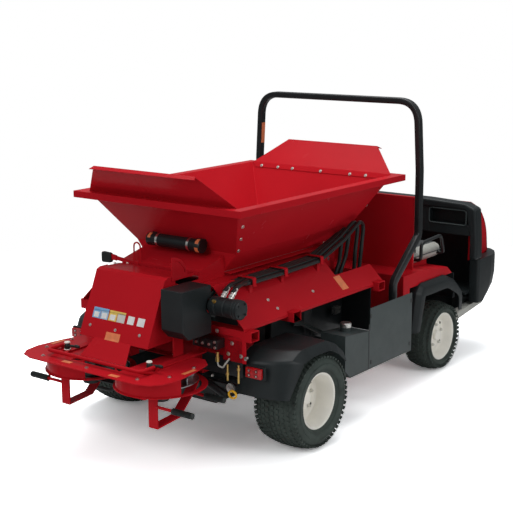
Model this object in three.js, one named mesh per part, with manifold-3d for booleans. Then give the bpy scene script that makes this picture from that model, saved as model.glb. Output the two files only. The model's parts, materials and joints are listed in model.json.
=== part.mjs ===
// Lawn topdresser on its carrier vehicle, in millimetres.
// X points to the machine's right, Y forward and Z up. Pieces are drawn with the ground under the
// rear axle as zero, and the whole machine is then set with its origin under the middle of its box.
import * as THREE from 'three';
import { mergeVertices } from 'three/addons/utils/BufferGeometryUtils.js';
import Module from 'manifold-3d';

const wasm = await Module();
wasm.setup();

// Fits shared by every piece
const touchGap = 0.3;
const overrun = 5;
const weldDistance = 0.0001;
const roundSides = 16;
const smallSides = 10;

// Wheels and axles
const wheelbase = 1778;

// Places along the machine, measured ahead of the front axle, so the dresser, the cab and the nose
// keep their clearances on a longer or shorter carrier
const fromFrontAxle = {
  railEnd: 642, hopperTop: -596, hopperWaist: -784, hopperBase: -1018, flapTop: -446,
  conveyorEnd: -848, idler: -918, coverWaist: -1178, coverEnd: -773, hoopPlane: -393,
  hoopFoot: -706, fenderRear: -486, fenderRearTop: -400, fenderCrestRear: -338,
  fenderCrestFront: 22, fenderFrontTop: 122, fenderFront: 206, fenderTurn: 82, panelEnd: -598,
  cabRear: -578, cabWallFront: -493, shelfNose: 22, shelfLip: 88, tunnelEnd: 182, shroud: -373,
  seatRear: -308, seatFront: 152, dashRear: 322, dashFront: 444, floorRear: 190, dashWall: 627,
  fairingRear: 352, fairingFront: 522, bumperRear: 326, bumperFront: 807, bumperBar: 742,
  noseRear: 444, noseShoulder: 592, noseBrow: 702, noseFront: 734, steeringWheel: 177,
  frontTube: -886, engineRear: -1478, engineFront: -928, cleaner: -1298, lastClamp: -1299,
};
const rearWheel = {
  height: 291, centreX: 690, halfWidth: 155, beadRadius: 152, lipRadius: 171, rimHalfWidth: 125,
  discOffset: 45,
};
const frontWheel = {
  height: 242, centreX: 565, halfWidth: 100, beadRadius: 152, lipRadius: 170, rimHalfWidth: 82,
  discOffset: 30,
};
const rim = { wall: 6, lip: 7, hubRadius: 62, hubReach: 20, capRadius: 34, capReach: 26 };
const wheelSides = 24;
const tyre = { lipCover: 9, bulge: 5, sideDrop: 62, shoulderDrop: 14, shoulder: 34 };
const axle = { tubeRadius: 55, endX: 545 };

// Frame rails of the carrier
const rail = {
  innerX: 250, width: 60, bottom: 400, height: 75, rear: -470, front: wheelbase + fromFrontAxle.railEnd,
};
const railTop = rail.bottom + rail.height;
const railOuterX = rail.innerX + rail.width;
const deckSeat = railTop + touchGap;

// Engine, drive line and transaxle
const transaxle = { halfWidth: 170, rear: -150, front: 160, bottom: 185, top: 385, padHalfLength: 90 };
const engine = {
  halfWidth: 200, rear: wheelbase + fromFrontAxle.engineRear,
  front: wheelbase + fromFrontAxle.engineFront,
  bottom: 330, top: 690, footHalfWidth: 300, footThick: 14,
  footLength: 60,
  lineRadius: 60, lineHeight: 360, cleanerRadius: 85, cleanerX: 330,
  cleanerY: wheelbase + fromFrontAxle.cleaner, cleanerTop: 700,
};

// Front axle and steering
const steer = {
  pinX: 475, beamHalfDepth: 40, beamHalfHeight: 38, padHalfLength: 50, knuckleRadius: 28,
  knuckleHalfHeight: 68,
};
const beamEndX = steer.pinX - steer.knuckleRadius - touchGap;

// Hopper, measured on its inner faces
const hopper = {
  skin: 5, topHalfX: 569, topRear: -428, topFront: wheelbase + fromFrontAxle.hopperTop, topZ: 1449,
  waistHalfX: 377, waistRear: -208,
  waistFront: wheelbase + fromFrontAxle.hopperWaist, waistZ: 1139, baseHalfX: 284,
  baseFront: wheelbase + fromFrontAxle.hopperBase, baseZ: 1023, rimReach: 64, rimDrop: 40,
};
const outlet = { halfWidth: 262, top: 1108 };
const flap = {
  skin: 4, rearHalfTop: 382, rearTopY: -564, rearTopZ: 1620, frontHalfTop: 364,
  frontTopY: wheelbase + fromFrontAxle.flapTop,
  frontTopZ: 1602,
  halfBase: 560, lap: 36, lip: 22, lipDrop: 14,
};

// Conveyor under the hopper
const conveyor = {
  plateInnerX: 290, plateThick: 6, bottom: 840, rear: -600,
  front: wheelbase + fromFrontAxle.conveyorEnd, flangeWidth: 46, flangeThick: 4,
  beltHalfWidth: 262, beltThick: 4, rollerRadius: 60, rollerHalfWidth: 258, shaftRadius: 12,
  driveY: -517,
  rollerZ: 915, idlerY: wheelbase + fromFrontAxle.idler, tieDepth: 44, tieDrop: 40, endFlange: 44,
};
const plateOuterX = conveyor.plateInnerX + conveyor.plateThick;
const conveyorTop = hopper.baseZ - touchGap;

// Cross tubes that carry the dresser on the rails
const crossTube = { halfLength: 660, depth: 76, height: 60, wall: 6 };
const crossTubes = {
  rear: { y: -438, z: 711 },
  middle: { y: -36, z: 740 },
  front: { y: wheelbase + fromFrontAxle.frontTube, z: 740 },
};
const hanger = { innerX: 460, outerX: 622, bottom: 584, thick: 8, braceHeight: 58 };
const carriageRail = { innerX: 285, width: 56, thick: 10, rear: -950 };

// Folded side covers over the subframe
const cover = {
  skin: 4, topInset: 400, topZ: 1000, ridgeX: 622, ridgeZ: 786, lipZ: 770, rear: -450,
  waistY: wheelbase + fromFrontAxle.coverWaist,
  front: wheelbase + fromFrontAxle.coverEnd, waistX: 520,
};
const clampYs = [-200, 107, wheelbase + fromFrontAxle.lastClamp];

// Conveyor drive
const motor = {
  flangeRadius: 46, flangeThick: 12, neckRadius: 34, bodyX: 460, bodyRadius: 59, capX: 640,
  capRadius: 52, endX: 662,
  portRadius: 13, portReach: 16, portXs: [490, 545], portLean: 0.75,
};
const chainGuard = { outerX: 450, rear: -765, front: -520, bottom: 755, top: 1030, chamfer: 50 };
const hose = { radius: 13, sides: 8, bendRadius: 70, bendSteps: 3 };

// Hydraulic hoses lie clipped along the right cover, then drop behind the hopper to the carrier; the
// drop is measured from the front axle
const hoseLay = 994;
const hoseRise = 8;
const clampBlock = { halfLength: 14, innerX: 398, outerX: 478, top: hoseLay - hose.radius - touchGap };
const supplyRoute = [
  [545, -455, 985], [543, -400, hoseLay + hoseRise + hoseRise], [500, -300, hoseLay + hoseRise],
  [458, -190, hoseLay], [458, 120, hoseLay],
];
const supplyDrop = [
  [458, -1298, hoseLay + hoseRise],
  [450, -1018, 1090], [440, -848, 1165], [424, -768, 1130], [408, -774, 960], [400, -778, 780],
  [392, -782, 560],
];
const returnRoute = [
  [490, -455, 985], [488, -400, hoseLay + hoseRise + hoseRise], [456, -300, hoseLay + hoseRise],
  [430, -190, hoseLay], [430, 120, hoseLay],
];
const returnDrop = [
  [430, -1298, hoseLay + hoseRise],
  [420, -1038, 1080], [408, -898, 1130], [396, -828, 1080], [382, -848, 930], [372, -928, 780],
  [360, -988, 560],
];

// Feed gate, its throat and its lever
const throat = { top: 1120, rearTop: 1066, thick: 4, rear: -440, barBottom: 1040 };
const gate = { pivotY: -242, pivotZ: 1098, pinRadius: 7, thick: 5, bottom: 992, halfWidth: 286 };
const lever = {
  pivotX: -170, pivotZ: 1050, thick: 6, height: 24, gripStart: -334, tipX: -447, rise: 28, gripExtra: 4,
  bossRadius: 18,
};
const loop = { innerX: -204, outerX: -146, top: 1182, bar: 9 };
const quadrant = {
  x: 262, thick: 5, rear: -634, front: -502, bottom: 1044, slot: 7, slotInset: 16, slotFrom: 0.3,
  slotTo: 1.3,
};

// Rear hood and chute tongue
const hood = {
  halfWidth: 260, skin: 4, frontY: -462, frontZ: 1052, topY: -660, topZ: 1066, browY: -687, browZ: 1056,
  lowY: -840,
  lowZ: 703, cheekFrontY: -600.3, cheekBottom: 703, tongueTopHalf: 137, tongueBottomHalf: 173,
  tongueY: -922, tongueZ: 612,
};

// Document tube on the hopper's rear wall
const documentTube = {
  radius: 34, halfLength: 205, z: 1176, standOff: 8, capRadius: 38, capLength: 34, padHalf: 16,
};

// Spinner attachment
const deck = {
  top: 603, thick: 6, rearY: -1094, rearHalf: 400, shoulderX: 482, shoulderY: -1064, cornerX: 524,
  cornerY: -1006,
  sideX: 542, sideY: -905, waistX: 520, waistY: -740, neckX: 488, neckY: -606, noseX: 420, noseY: -544,
  mouthHalf: 185, mouthRear: -985, mouthFront: -600,
};
const skirt = {
  centreX: 270, centreY: -750, radius: 250, thick: 4, bottom: 490, ringInner: 228, ringOuter: 262,
};
const skirtArc = { from: -128, to: -22, sides: 32, steps: 10 };
const disc = {
  radius: 212, thick: 5, bottom: 516, vaneHeight: 34, vaneThick: 6, vanes: 6, hubRadius: 38,
  hubHeight: 46,
};
const drive = {
  plateTop: 440, plateThick: 8, plateRear: -800, plateFront: -560, motorRadius: 46, motorBottom: 396,
  neckRadius: 26,
};
const leg = {
  innerX: 306, outerX: 370, thick: 8, topY: -987, postY: -892, bottomZ: 285, toeY: -705, toeZ: 300,
  kneeY: -596,
  kneeZ: 398, frontY: -522,
};
const handle = {
  rodRadius: 9, gripRadius: 19, gripBore: 100, z: 412, rearStart: 480, rearEnd: 620, frontStart: 455,
  frontEnd: 592,
};
const guardBar = { radius: 10, z: 634, halfWidth: 356, rearY: -1000, footY: -880, bend: 34 };
const clamp = {
  x: 315, y: -885, studRadius: 8, washerRadius: 20, washerThick: 5, armLength: 95, armRadius: 8,
  armRise: 26, slotHalf: 10, travel: 40,
};

// Roll-over hoop
const hoop = {
  tubeRadius: 25, y: wheelbase + fromFrontAxle.hoopPlane, topZ: 1905, topX: 632, shoulderZ: 1460,
  x: 659, kneeZ: 1030, footY: wheelbase + fromFrontAxle.hoopFoot,
  footZ: 765,
  bendRadius: 150, beamDepth: 60, beamHeight: 70, beamHalfLength: 690, sides: 12,
};

// Fenders
const rearFender = {
  innerX: 548, outerX: 860, wall: 12, rearY: -420, rearZ: 398, rearTopZ: 585, crestRearY: -215,
  crestZ: 640,
  crestFrontY: 120, frontTopY: 230, frontTopZ: 575, frontY: 250, frontZ: 488, edge: 66, bevel: 36,
  bevelX: 800,
  stayBottom: 408, stayHeight: 26, stayRear: -412, stayDepth: 34,
};
const tailLight = { innerX: 620, outerX: 745, bottom: 510, top: 582, reach: 12 };
const frontFender = {
  innerX: 476, outerX: 702, wall: 10, rearY: wheelbase + fromFrontAxle.fenderRear, rearZ: 376,
  rearTopY: wheelbase + fromFrontAxle.fenderRearTop, rearTopZ: 655,
  crestRearY: wheelbase + fromFrontAxle.fenderCrestRear,
  crestZ: 684, crestFrontY: wheelbase + fromFrontAxle.fenderCrestFront,
  frontTopY: wheelbase + fromFrontAxle.fenderFrontTop, frontTopZ: 612,
  frontY: wheelbase + fromFrontAxle.fenderFront, frontMidZ: 520,
  frontZ: 412, edge: 92,
  turnX: 625, turnY: wheelbase + fromFrontAxle.fenderTurn, turnZ: 500,
};

// Side panels and fuel tanks
const sidePanel = {
  outerX: 740, thick: 6, rear: 668, front: wheelbase + fromFrontAxle.panelEnd, bottom: 298, top: 690,
  tankInner: 560, tankRear: 386,
  tankTop: 575,
  tankChamfer: 60, tankFrontTop: 548, stayBottom: 405, stayHeight: 30, stayDepth: 30, capRadius: 34,
  capHeight: 14,
};

// Cab body, shroud and seats
const cab = {
  wallRear: wheelbase + fromFrontAxle.cabRear, wallFront: wheelbase + fromFrontAxle.cabWallFront,
  halfWidth: 660, wallBottom: 380,
  shelfZ: frontFender.crestZ + touchGap, seatZ: 780, noseY: wheelbase + fromFrontAxle.shelfNose,
  noseZ: 740,
  lipY: wheelbase + fromFrontAxle.shelfLip, lipZ: 690, tunnelHalf: 330,
  tunnelFront: wheelbase + fromFrontAxle.tunnelEnd,
};
const shroud = {
  y: wheelbase + fromFrontAxle.shroud, thick: 14, halfWidth: 608, top: 1276, returnDepth: 30,
};
const seat = {
  centreX: 330, halfWidth: 235, rear: wheelbase + fromFrontAxle.seatRear,
  front: wheelbase + fromFrontAxle.seatFront, base: cab.seatZ + touchGap, cushionHeight: 110,
  backTop: 1090, backThick: 100,
  backLean: 46, crown: 18, drawIn: 26, corner: 70, cornerSteps: 3, rings: 5,
};
const seatRail = {
  radius: 12, offset: 30, rear: 70, front: 390, foot: 40, rearTop: 160, frontTop: 175, bend: 45,
};

// Dash, floor, bumper and hood of the carrier
const dash = {
  halfWidth: 660, rear: wheelbase + fromFrontAxle.dashRear, front: wheelbase + fromFrontAxle.dashFront,
  bottom: 905, top: 1150, floorRear: wheelbase + fromFrontAxle.floorRear, floorHalf: 620,
  floorThick: 20,
  wallY: wheelbase + fromFrontAxle.dashWall, wallThick: 20, wallTop: 966, coverThick: 12,
  recessInner: 330, recessOuter: 628,
  recessBottom: 977,
  recessTop: 1084, recessDepth: 90,
};
const fairing = {
  innerX: 640, outerX: 704, rear: wheelbase + fromFrontAxle.fairingRear,
  front: wheelbase + fromFrontAxle.fairingFront, top: 1100, brow: 40,
};
const bumper = {
  outerX: 722, innerX: 640, rear: wheelbase + fromFrontAxle.bumperRear,
  front: wheelbase + fromFrontAxle.bumperFront, bottom: 408, top: 700, cornerTop: 735,
  barBack: wheelbase + fromFrontAxle.bumperBar, chamfer: 70,
};
const nose = {
  halfWidth: 612, skin: 14, rear: wheelbase + fromFrontAxle.noseRear, rearTop: 1136,
  shoulderY: wheelbase + fromFrontAxle.noseShoulder, shoulderZ: 1070,
  browY: wheelbase + fromFrontAxle.noseBrow,
  browZ: 930,
  frontY: wheelbase + fromFrontAxle.noseFront, bottom: 706,
};
const wheel = {
  x: -330, y: wheelbase + fromFrontAxle.steeringWheel, z: 1105, ringRadius: 170, ringTube: 14,
  hubRadius: 40, hubHeight: 30, spokeHalf: 11,
  spokeThick: 8,
  lean: 0.75, ringSides: 20, tubeSides: 6, columnRadius: 22, columnLength: 260,
};

// Colours
const paintRed = { color: 0xa8141c, roughness: 0.3, metalness: 0.2 };
const charcoal = { color: 0x23292b, roughness: 0.6, metalness: 0 };
const rubberBlack = { color: 0x1c2021, roughness: 0.85, metalness: 0 };
const rimCream = { color: 0xd9d3c8, roughness: 0.45, metalness: 0.1 };
const steelGrey = { color: 0x8e9396, roughness: 0.4, metalness: 0.8 };
const ironDark = { color: 0x35393b, roughness: 0.6, metalness: 0.5 };
const panelGrey = { color: 0x454c4f, roughness: 0.5, metalness: 0.1 };
const vinylGrey = { color: 0x3a3d40, roughness: 0.7, metalness: 0 };

// Solids from three.js geometry

// A closed geometry as a solid that can be joined and cut
function solid(geometry) {
  const bare = geometry.clone();
  bare.deleteAttribute('normal');
  bare.deleteAttribute('uv');
  const merged = mergeVertices(bare, weldDistance);
  const positions = new Float32Array(merged.attributes.position.array);
  const corners = new Uint32Array(merged.index.array);
  const body = new wasm.Manifold(new wasm.Mesh({ numProp: 3, vertProperties: positions,
    triVerts: corners }));
  if (body.volume() > 0) return body;
  for (let i = 0; i < corners.length; i += 3) {
    [corners[i], corners[i + 1]] = [corners[i + 1], corners[i]];
  }
  return new wasm.Manifold(new wasm.Mesh({ numProp: 3, vertProperties: positions, triVerts: corners }));
}

// The finished solid as a geometry again
function geometryOf(body) {
  const mesh = body.getMesh();
  const geometry = new THREE.BufferGeometry();
  geometry.setAttribute('position', new THREE.BufferAttribute(mesh.vertProperties, 3));
  geometry.setIndex(new THREE.BufferAttribute(mesh.triVerts, 1));
  geometry.computeVertexNormals();
  return geometry;
}

// The radius of a bore whose flats clear a round part of a given radius
const boreFor = (radius, sides) => (radius + touchGap) / Math.cos(Math.PI / sides);

const join = (...bodies) => bodies.reduce((whole, body) => whole.add(body));
const cut = (body, ...cutters) => cutters.reduce((whole, cutter) => whole.subtract(cutter), body);

// A straight block between two corners
function block(x0, x1, y0, y1, z0, z1) {
  const geometry = new THREE.BoxGeometry(x1 - x0, y1 - y0, z1 - z0);
  geometry.translate((x0 + x1) / 2, (y0 + y1) / 2, (z0 + z1) / 2);
  return solid(geometry);
}

// The flat outline extruded by a length, counter-clockwise or not
function extruded(points, length) {
  const shape = new THREE.Shape(points.map(([u, v]) => new THREE.Vector2(u, v)));
  return new THREE.ExtrudeGeometry(shape, { depth: length, bevelEnabled: false,
    curveSegments: roundSides });
}

// An outline in Y and Z, extruded along X
function prismX(points, x0, x1) {
  const geometry = extruded(points, x1 - x0);
  const axes = new THREE.Matrix4().makeBasis(
    new THREE.Vector3(0, 1, 0), new THREE.Vector3(0, 0, 1), new THREE.Vector3(1, 0, 0),
  );
  geometry.applyMatrix4(axes);
  geometry.translate(x0, 0, 0);
  return solid(geometry);
}

// An outline in X and Z, extruded along Y
function prismY(points, y0, y1) {
  const geometry = extruded(points, y1 - y0);
  geometry.rotateX(Math.PI / 2);
  geometry.translate(0, y1, 0);
  return solid(geometry);
}

// An outline in X and Y, extruded along Z
function prismZ(points, z0, z1) {
  const geometry = extruded(points, z1 - z0);
  geometry.translate(0, 0, z0);
  return solid(geometry);
}

// The outline of a bent sheet: a line of points and the same line moved by the sheet's thickness
function sheetOutline(points, thickness) {
  const moved = points.map((point, index) => {
    const before = points[Math.max(index - 1, 0)];
    const after = points[Math.min(index + 1, points.length - 1)];
    const first = direction(index > 0 ? before : point, index > 0 ? point : after);
    const second = direction(index < points.length - 1 ? point : before,
      index < points.length - 1 ? after : point);
    const normal = [-(first[1] + second[1]), first[0] + second[0]];
    const scale = thickness * 2 / (normal[0] ** 2 + normal[1] ** 2);
    return [point[0] + normal[0] * scale, point[1] + normal[1] * scale];
  });
  return [...points, ...moved.reverse()];
}

function direction(from, to) {
  const length = Math.hypot(to[0] - from[0], to[1] - from[1]);
  return [(to[0] - from[0]) / length, (to[1] - from[1]) / length];
}

// Level rings of corners, one above the other, closed into one solid
function loft(rings) {
  const count = rings[0].length;
  const positions = rings.flat(2);
  const index = [];
  for (let level = 0; level < rings.length - 1; level += 1) {
    for (let corner = 0; corner < count; corner += 1) {
      const a = level * count + corner;
      const b = level * count + (corner + 1) % count;
      index.push(a, b, b + count, a, b + count, a + count);
    }
  }
  const last = (rings.length - 1) * count;
  for (let corner = 1; corner < count - 1; corner += 1) {
    index.push(0, corner + 1, corner);
    index.push(last, last + corner, last + corner + 1);
  }
  const geometry = new THREE.BufferGeometry();
  geometry.setAttribute('position', new THREE.BufferAttribute(new Float32Array(positions), 3));
  geometry.setIndex(index);
  return solid(geometry);
}

// Four corners of a level rectangle, counter-clockwise from above
function levelRing(halfX, y0, y1, z) {
  return [[-halfX, y0, z], [halfX, y0, z], [halfX, y1, z], [-halfX, y1, z]];
}

// A round bar between two points
function rod(from, to, radius, sides = roundSides) {
  const start = new THREE.Vector3(...from);
  const end = new THREE.Vector3(...to);
  const geometry = new THREE.CylinderGeometry(radius, radius, start.distanceTo(end), sides);
  const along = end.clone().sub(start).normalize();
  geometry.applyQuaternion(new THREE.Quaternion().setFromUnitVectors(new THREE.Vector3(0, 1, 0), along));
  const middle = start.add(end).multiplyScalar(1 / 2);
  geometry.translate(middle.x, middle.y, middle.z);
  return solid(geometry);
}

// A profile of radius and height turned about the Z axis
function turnedZ(profile, sides) {
  const geometry = new THREE.LatheGeometry(profile.map(([r, h]) => new THREE.Vector2(r, h)), sides);
  geometry.rotateX(Math.PI / 2);
  return solid(geometry);
}

// A profile of radius and reach turned about the X axis, with a flat of its polygon at the bottom
function turnedX(profile, sides) {
  const geometry = new THREE.LatheGeometry(profile.map(([r, h]) => new THREE.Vector2(r, h)), sides);
  geometry.rotateZ(-Math.PI / 2);
  geometry.rotateX(Math.PI / sides);
  return solid(geometry);
}

// A path of straight runs and round bends, sampled only where it turns
const bendRoomShare = 0.45;

class BentPath extends THREE.Curve {
  constructor(points, bendRadius, bendSteps) {
    super();
    const corners = points.map((point) => new THREE.Vector3(...point));
    const lead = corners[1].clone().sub(corners[0]).normalize();
    this.stations = [{ place: corners[0], heading: lead }];
    for (let i = 1; i < corners.length - 1; i += 1) {
      this.addBend(corners[i - 1], corners[i], corners[i + 1], bendRadius, bendSteps);
    }
    const end = corners[corners.length - 1];
    this.stations.push({ place: end,
      heading: end.clone().sub(corners[corners.length - 2]).normalize() });
  }

  addBend(before, corner, after, bendRadius, bendSteps) {
    const inward = corner.clone().sub(before);
    const outward = after.clone().sub(corner);
    const room = Math.min(inward.length(), outward.length()) * bendRoomShare;
    const setBack = Math.min(bendRadius * Math.tan(inward.angleTo(outward) / 2), room);
    const start = corner.clone().addScaledVector(inward.normalize(), -setBack);
    const end = corner.clone().addScaledVector(outward.normalize(), setBack);
    const arc = new THREE.QuadraticBezierCurve3(start, corner, end);
    for (let step = 0; step <= bendSteps; step += 1) {
      this.stations.push({ place: arc.getPoint(step / bendSteps),
        heading: arc.getTangent(step / bendSteps) });
    }
  }

  stationAt(share) {
    return this.stations[Math.round(share * (this.stations.length - 1))];
  }

  getPointAt(share) {
    return this.stationAt(share).place.clone();
  }

  getTangentAt(share) {
    return this.stationAt(share).heading.clone();
  }
}

// A round tube along a bent path
function bentTube(points, radius, bendRadius, bendSteps, sides) {
  const path = new BentPath(points, bendRadius, bendSteps);
  const section = new THREE.Shape();
  section.absarc(0, 0, radius, 0, Math.PI * 2, false);
  const geometry = new THREE.ExtrudeGeometry(section, {
    steps: path.stations.length - 1, curveSegments: sides / 2, extrudePath: path,
  });
  return solid(geometry);
}

// A solid moved, turned or mirrored by a matrix
function placed(body, matrix) {
  const geometry = geometryOf(body);
  geometry.applyMatrix4(matrix);
  return solid(geometry);
}

const mirrored = (body) => placed(body, new THREE.Matrix4().makeScale(-1, 1, 1));
const shifted = (body, x, y, z) => placed(body, new THREE.Matrix4().makeTranslation(x, y, z));

const machine = new THREE.Group();

// Adds one named piece to the machine
function addPiece(name, body, finish, parent = machine) {
  const mesh = new THREE.Mesh(geometryOf(body), new THREE.MeshStandardMaterial(finish));
  mesh.name = name;
  parent.add(mesh);
  return mesh;
}

// Adds a right-hand piece and its mirror image
function addPair(name, body, finish) {
  addPiece(`right_${name}`, body, finish);
  addPiece(`left_${name}`, mirrored(body), finish);
}

// Wheels

// The side view of a rim from its axis outward, as radius and reach along the axle
function rimProfile(w, hubInner) {
  const barrel = w.beadRadius - rim.wall;
  const near = w.discOffset - rim.wall / 2;
  const far = w.discOffset + rim.wall / 2;
  return [
    [0, hubInner], [rim.hubRadius, hubInner], [rim.hubRadius, near], [barrel, near], [barrel,
    -w.rimHalfWidth],
    [w.lipRadius, -w.rimHalfWidth], [w.lipRadius, rim.lip - w.rimHalfWidth],
    [w.beadRadius, rim.lip - w.rimHalfWidth], [w.beadRadius, w.rimHalfWidth - rim.lip],
    [w.lipRadius, w.rimHalfWidth - rim.lip], [w.lipRadius, w.rimHalfWidth], [barrel, w.rimHalfWidth],
    [barrel, far],
    [rim.hubRadius, far], [rim.capRadius, far + rim.hubReach], [0, far + rim.capReach],
  ];
}

// The section of a tyre that sits between the rim's lips, closed on itself
function tyreProfile(w) {
  const seatHalf = w.rimHalfWidth - rim.lip - touchGap;
  const flat = w.height / Math.cos(Math.PI / wheelSides);
  const half = [
    [w.beadRadius + touchGap, seatHalf],
    [w.lipRadius + touchGap, seatHalf],
    [w.lipRadius + tyre.lipCover, w.rimHalfWidth + tyre.bulge],
    [flat - tyre.sideDrop, w.halfWidth],
    [flat - tyre.shoulderDrop, w.halfWidth - tyre.shoulder / 2],
    [flat, w.halfWidth - tyre.shoulder],
  ];
  const far = half.map(([r, h]) => [r, -h]).reverse();
  return [...half, ...far, half[0]];
}

// A rim and a tyre for each corner of the machine
function addWheel(side, end, w, y, hubInner) {
  const sign = side === 'right' ? 1 : -1;
  const parts = [
    [`${side}_${end}_rim`, turnedX(rimProfile(w, hubInner), wheelSides), rimCream],
    [`${side}_${end}_tyre`, turnedX(tyreProfile(w), wheelSides), rubberBlack],
  ];
  for (const [name, body, finish] of parts) {
    const mesh = addPiece(name, sign > 0 ? body : mirrored(body), finish);
    mesh.position.set(sign * w.centreX, y, w.height);
  }
}

const rearHubInner = axle.endX + touchGap - rearWheel.centreX;
const frontHubInner = steer.pinX + steer.knuckleRadius + touchGap - frontWheel.centreX;

function addWheels() {
  for (const side of ['left', 'right']) {
    addWheel(side, 'rear', rearWheel, 0, rearHubInner);
    addWheel(side, 'front', frontWheel, wheelbase, frontHubInner);
  }
}

// Frame rails
function addRails() {
  const beam = block(rail.innerX, railOuterX, rail.rear, rail.front, rail.bottom, railTop);
  addPair('frame_rail', beam, ironDark);
}

// Transaxle, drive line and engine as one bolted unit, standing on and hanging from the rails
function addPowertrain() {
  const t = transaxle;
  const e = engine;
  const padTop = rail.bottom - touchGap;
  const housing = block(-t.halfWidth, t.halfWidth, t.rear, t.front, t.bottom, t.top);
  const tubes = rod([-axle.endX, 0, rearWheel.height], [axle.endX, 0, rearWheel.height],
    axle.tubeRadius);
  const pads = block(-railOuterX, railOuterX, -t.padHalfLength, t.padHalfLength, t.top - e.footThick,
    padTop);
  const line = rod([0, 0, e.lineHeight], [0, e.rear + overrun, e.lineHeight], e.lineRadius);
  const crankcase = block(-e.halfWidth, e.halfWidth, e.rear, e.front, e.bottom, e.top);
  const feet = [e.rear, e.front - e.footLength].map((y) => (
    block(-e.footHalfWidth, e.footHalfWidth, y, y + e.footLength, deckSeat, deckSeat + e.footThick)
  ));
  const cleaner = rod(
    [e.cleanerX, e.cleanerY, deckSeat + e.footThick], [e.cleanerX, e.cleanerY, e.cleanerTop],
    e.cleanerRadius,
  );
  const duct = block(0, e.cleanerX, e.cleanerY - e.lineRadius, e.cleanerY + e.lineRadius,
    e.top - e.lineRadius, e.top);
  addPiece('powertrain', join(housing, tubes, pads, line, crankcase, ...feet, cleaner, duct), ironDark);
}

// Front axle beam under the rails
function addFrontAxle() {
  const s = steer;
  const level = frontWheel.height;
  const beam = block(
    -beamEndX, beamEndX, wheelbase - s.beamHalfDepth, wheelbase + s.beamHalfDepth,
    level - s.beamHalfHeight, level + s.beamHalfHeight,
  );
  const pads = [-railOuterX, rail.innerX].map((x) => block(
    x, x + rail.width, wheelbase - s.padHalfLength, wheelbase + s.padHalfLength, level,
    rail.bottom - touchGap,
  ));
  addPiece('front_axle', join(beam, ...pads), ironDark);
}

// Steering knuckle between the beam's end and the hub
function addKnuckles() {
  const s = steer;
  const level = frontWheel.height;
  const post = rod(
    [s.pinX, wheelbase, level - s.knuckleHalfHeight], [s.pinX, wheelbase, level + s.knuckleHalfHeight],
    s.knuckleRadius,
  );
  addPair('knuckle', post, ironDark);
}

// Hopper

// The rings of the hopper's four sloping walls, grown outward and stretched past its mouth and base
function hopperRings(grow, above, below) {
  const h = hopper;
  return [
    levelRing(h.baseHalfX + grow, h.waistRear - grow, h.baseFront + grow, h.baseZ - below),
    levelRing(h.baseHalfX + grow, h.waistRear - grow, h.baseFront + grow, h.baseZ),
    levelRing(h.waistHalfX + grow, h.waistRear - grow, h.waistFront + grow, h.waistZ),
    levelRing(h.topHalfX + grow, h.topRear - grow, h.topFront + grow, h.topZ),
    levelRing(h.topHalfX + grow, h.topRear - grow, h.topFront + grow, h.topZ + above),
  ];
}

function addHopper() {
  const h = hopper;
  const reach = h.rimReach;
  const walls = loft(hopperRings(h.skin, 0, 0).slice(1, 4));
  const brim = block(
    -h.topHalfX - reach, h.topHalfX + reach, h.topRear - reach, h.topFront + reach, h.topZ - h.skin,
    h.topZ,
  );
  const lipOuter = block(
    -h.topHalfX - reach, h.topHalfX + reach, h.topRear - reach, h.topFront + reach, h.topZ - h.rimDrop,
    h.topZ,
  );
  const inset = reach - h.skin;
  const lipInner = block(
    -h.topHalfX - inset, h.topHalfX + inset, h.topRear - inset, h.topFront + inset,
    h.topZ - h.rimDrop - overrun, h.topZ + overrun,
  );
  const space = loft(hopperRings(0, overrun, overrun));
  const outletHole = block(
    -outlet.halfWidth, outlet.halfWidth, h.waistRear - h.skin - overrun, h.waistRear + overrun,
    h.baseZ - overrun, outlet.top,
  );
  const shell = cut(join(walls, brim, cut(lipOuter, lipInner)), space, outletHole);
  addPiece('hopper_shell', shell, paintRed);
}

// A sloping flap that laps the inside of the hopper's wall and ends in a folded lip
function flapBody(wallLow, wallHigh, top, halfTop) {
  const f = flap;
  const along = direction(wallLow, wallHigh);
  const upward = direction(wallHigh, top);
  const outward = Math.sign(top[0] - wallHigh[0]);
  const inset = [-outward * touchGap, touchGap];
  const foot = [wallHigh[0] - along[0] * f.lap + inset[0], wallHigh[1] - along[1] * f.lap];
  const bend = [wallHigh[0] + inset[0], wallHigh[1] + inset[1]];
  const edge = [top[0], top[1]];
  const lipEnd = [top[0] + outward * f.lip, top[1] - f.lipDrop];
  const line = [foot, bend, edge, lipEnd];
  const outline = sheetOutline(line, outward * f.skin);
  const sheet = prismX(outline, -f.halfBase, f.halfBase);
  const taper = Math.abs(upward[1]) * f.skin;
  const halfFoot = f.halfBase - f.lap;
  const mask = prismY([
    [-halfFoot, foot[1] - f.lap], [halfFoot, foot[1] - f.lap], [halfFoot, foot[1]], [f.halfBase,
    bend[1]],
    [halfTop, top[1] + taper], [halfTop, top[1] + f.lip], [-halfTop, top[1] + f.lip], [-halfTop,
    top[1] + taper],
    [-f.halfBase, bend[1]], [-halfFoot, foot[1]],
  ], Math.min(foot[0], lipEnd[0]) - f.lip, Math.max(foot[0], lipEnd[0]) + f.lip);
  return sheet.intersect(mask);
}

function addFlaps() {
  const h = hopper;
  const rear = flapBody([h.waistRear, h.waistZ], [h.topRear, h.topZ], [flap.rearTopY, flap.rearTopZ],
    flap.rearHalfTop);
  const front = flapBody(
    [h.waistFront, h.waistZ], [h.topFront, h.topZ], [flap.frontTopY, flap.frontTopZ], flap.frontHalfTop,
  );
  addPiece('hopper_rear_flap', rear, paintRed);
  addPiece('hopper_front_flap', front, paintRed);
}

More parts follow.
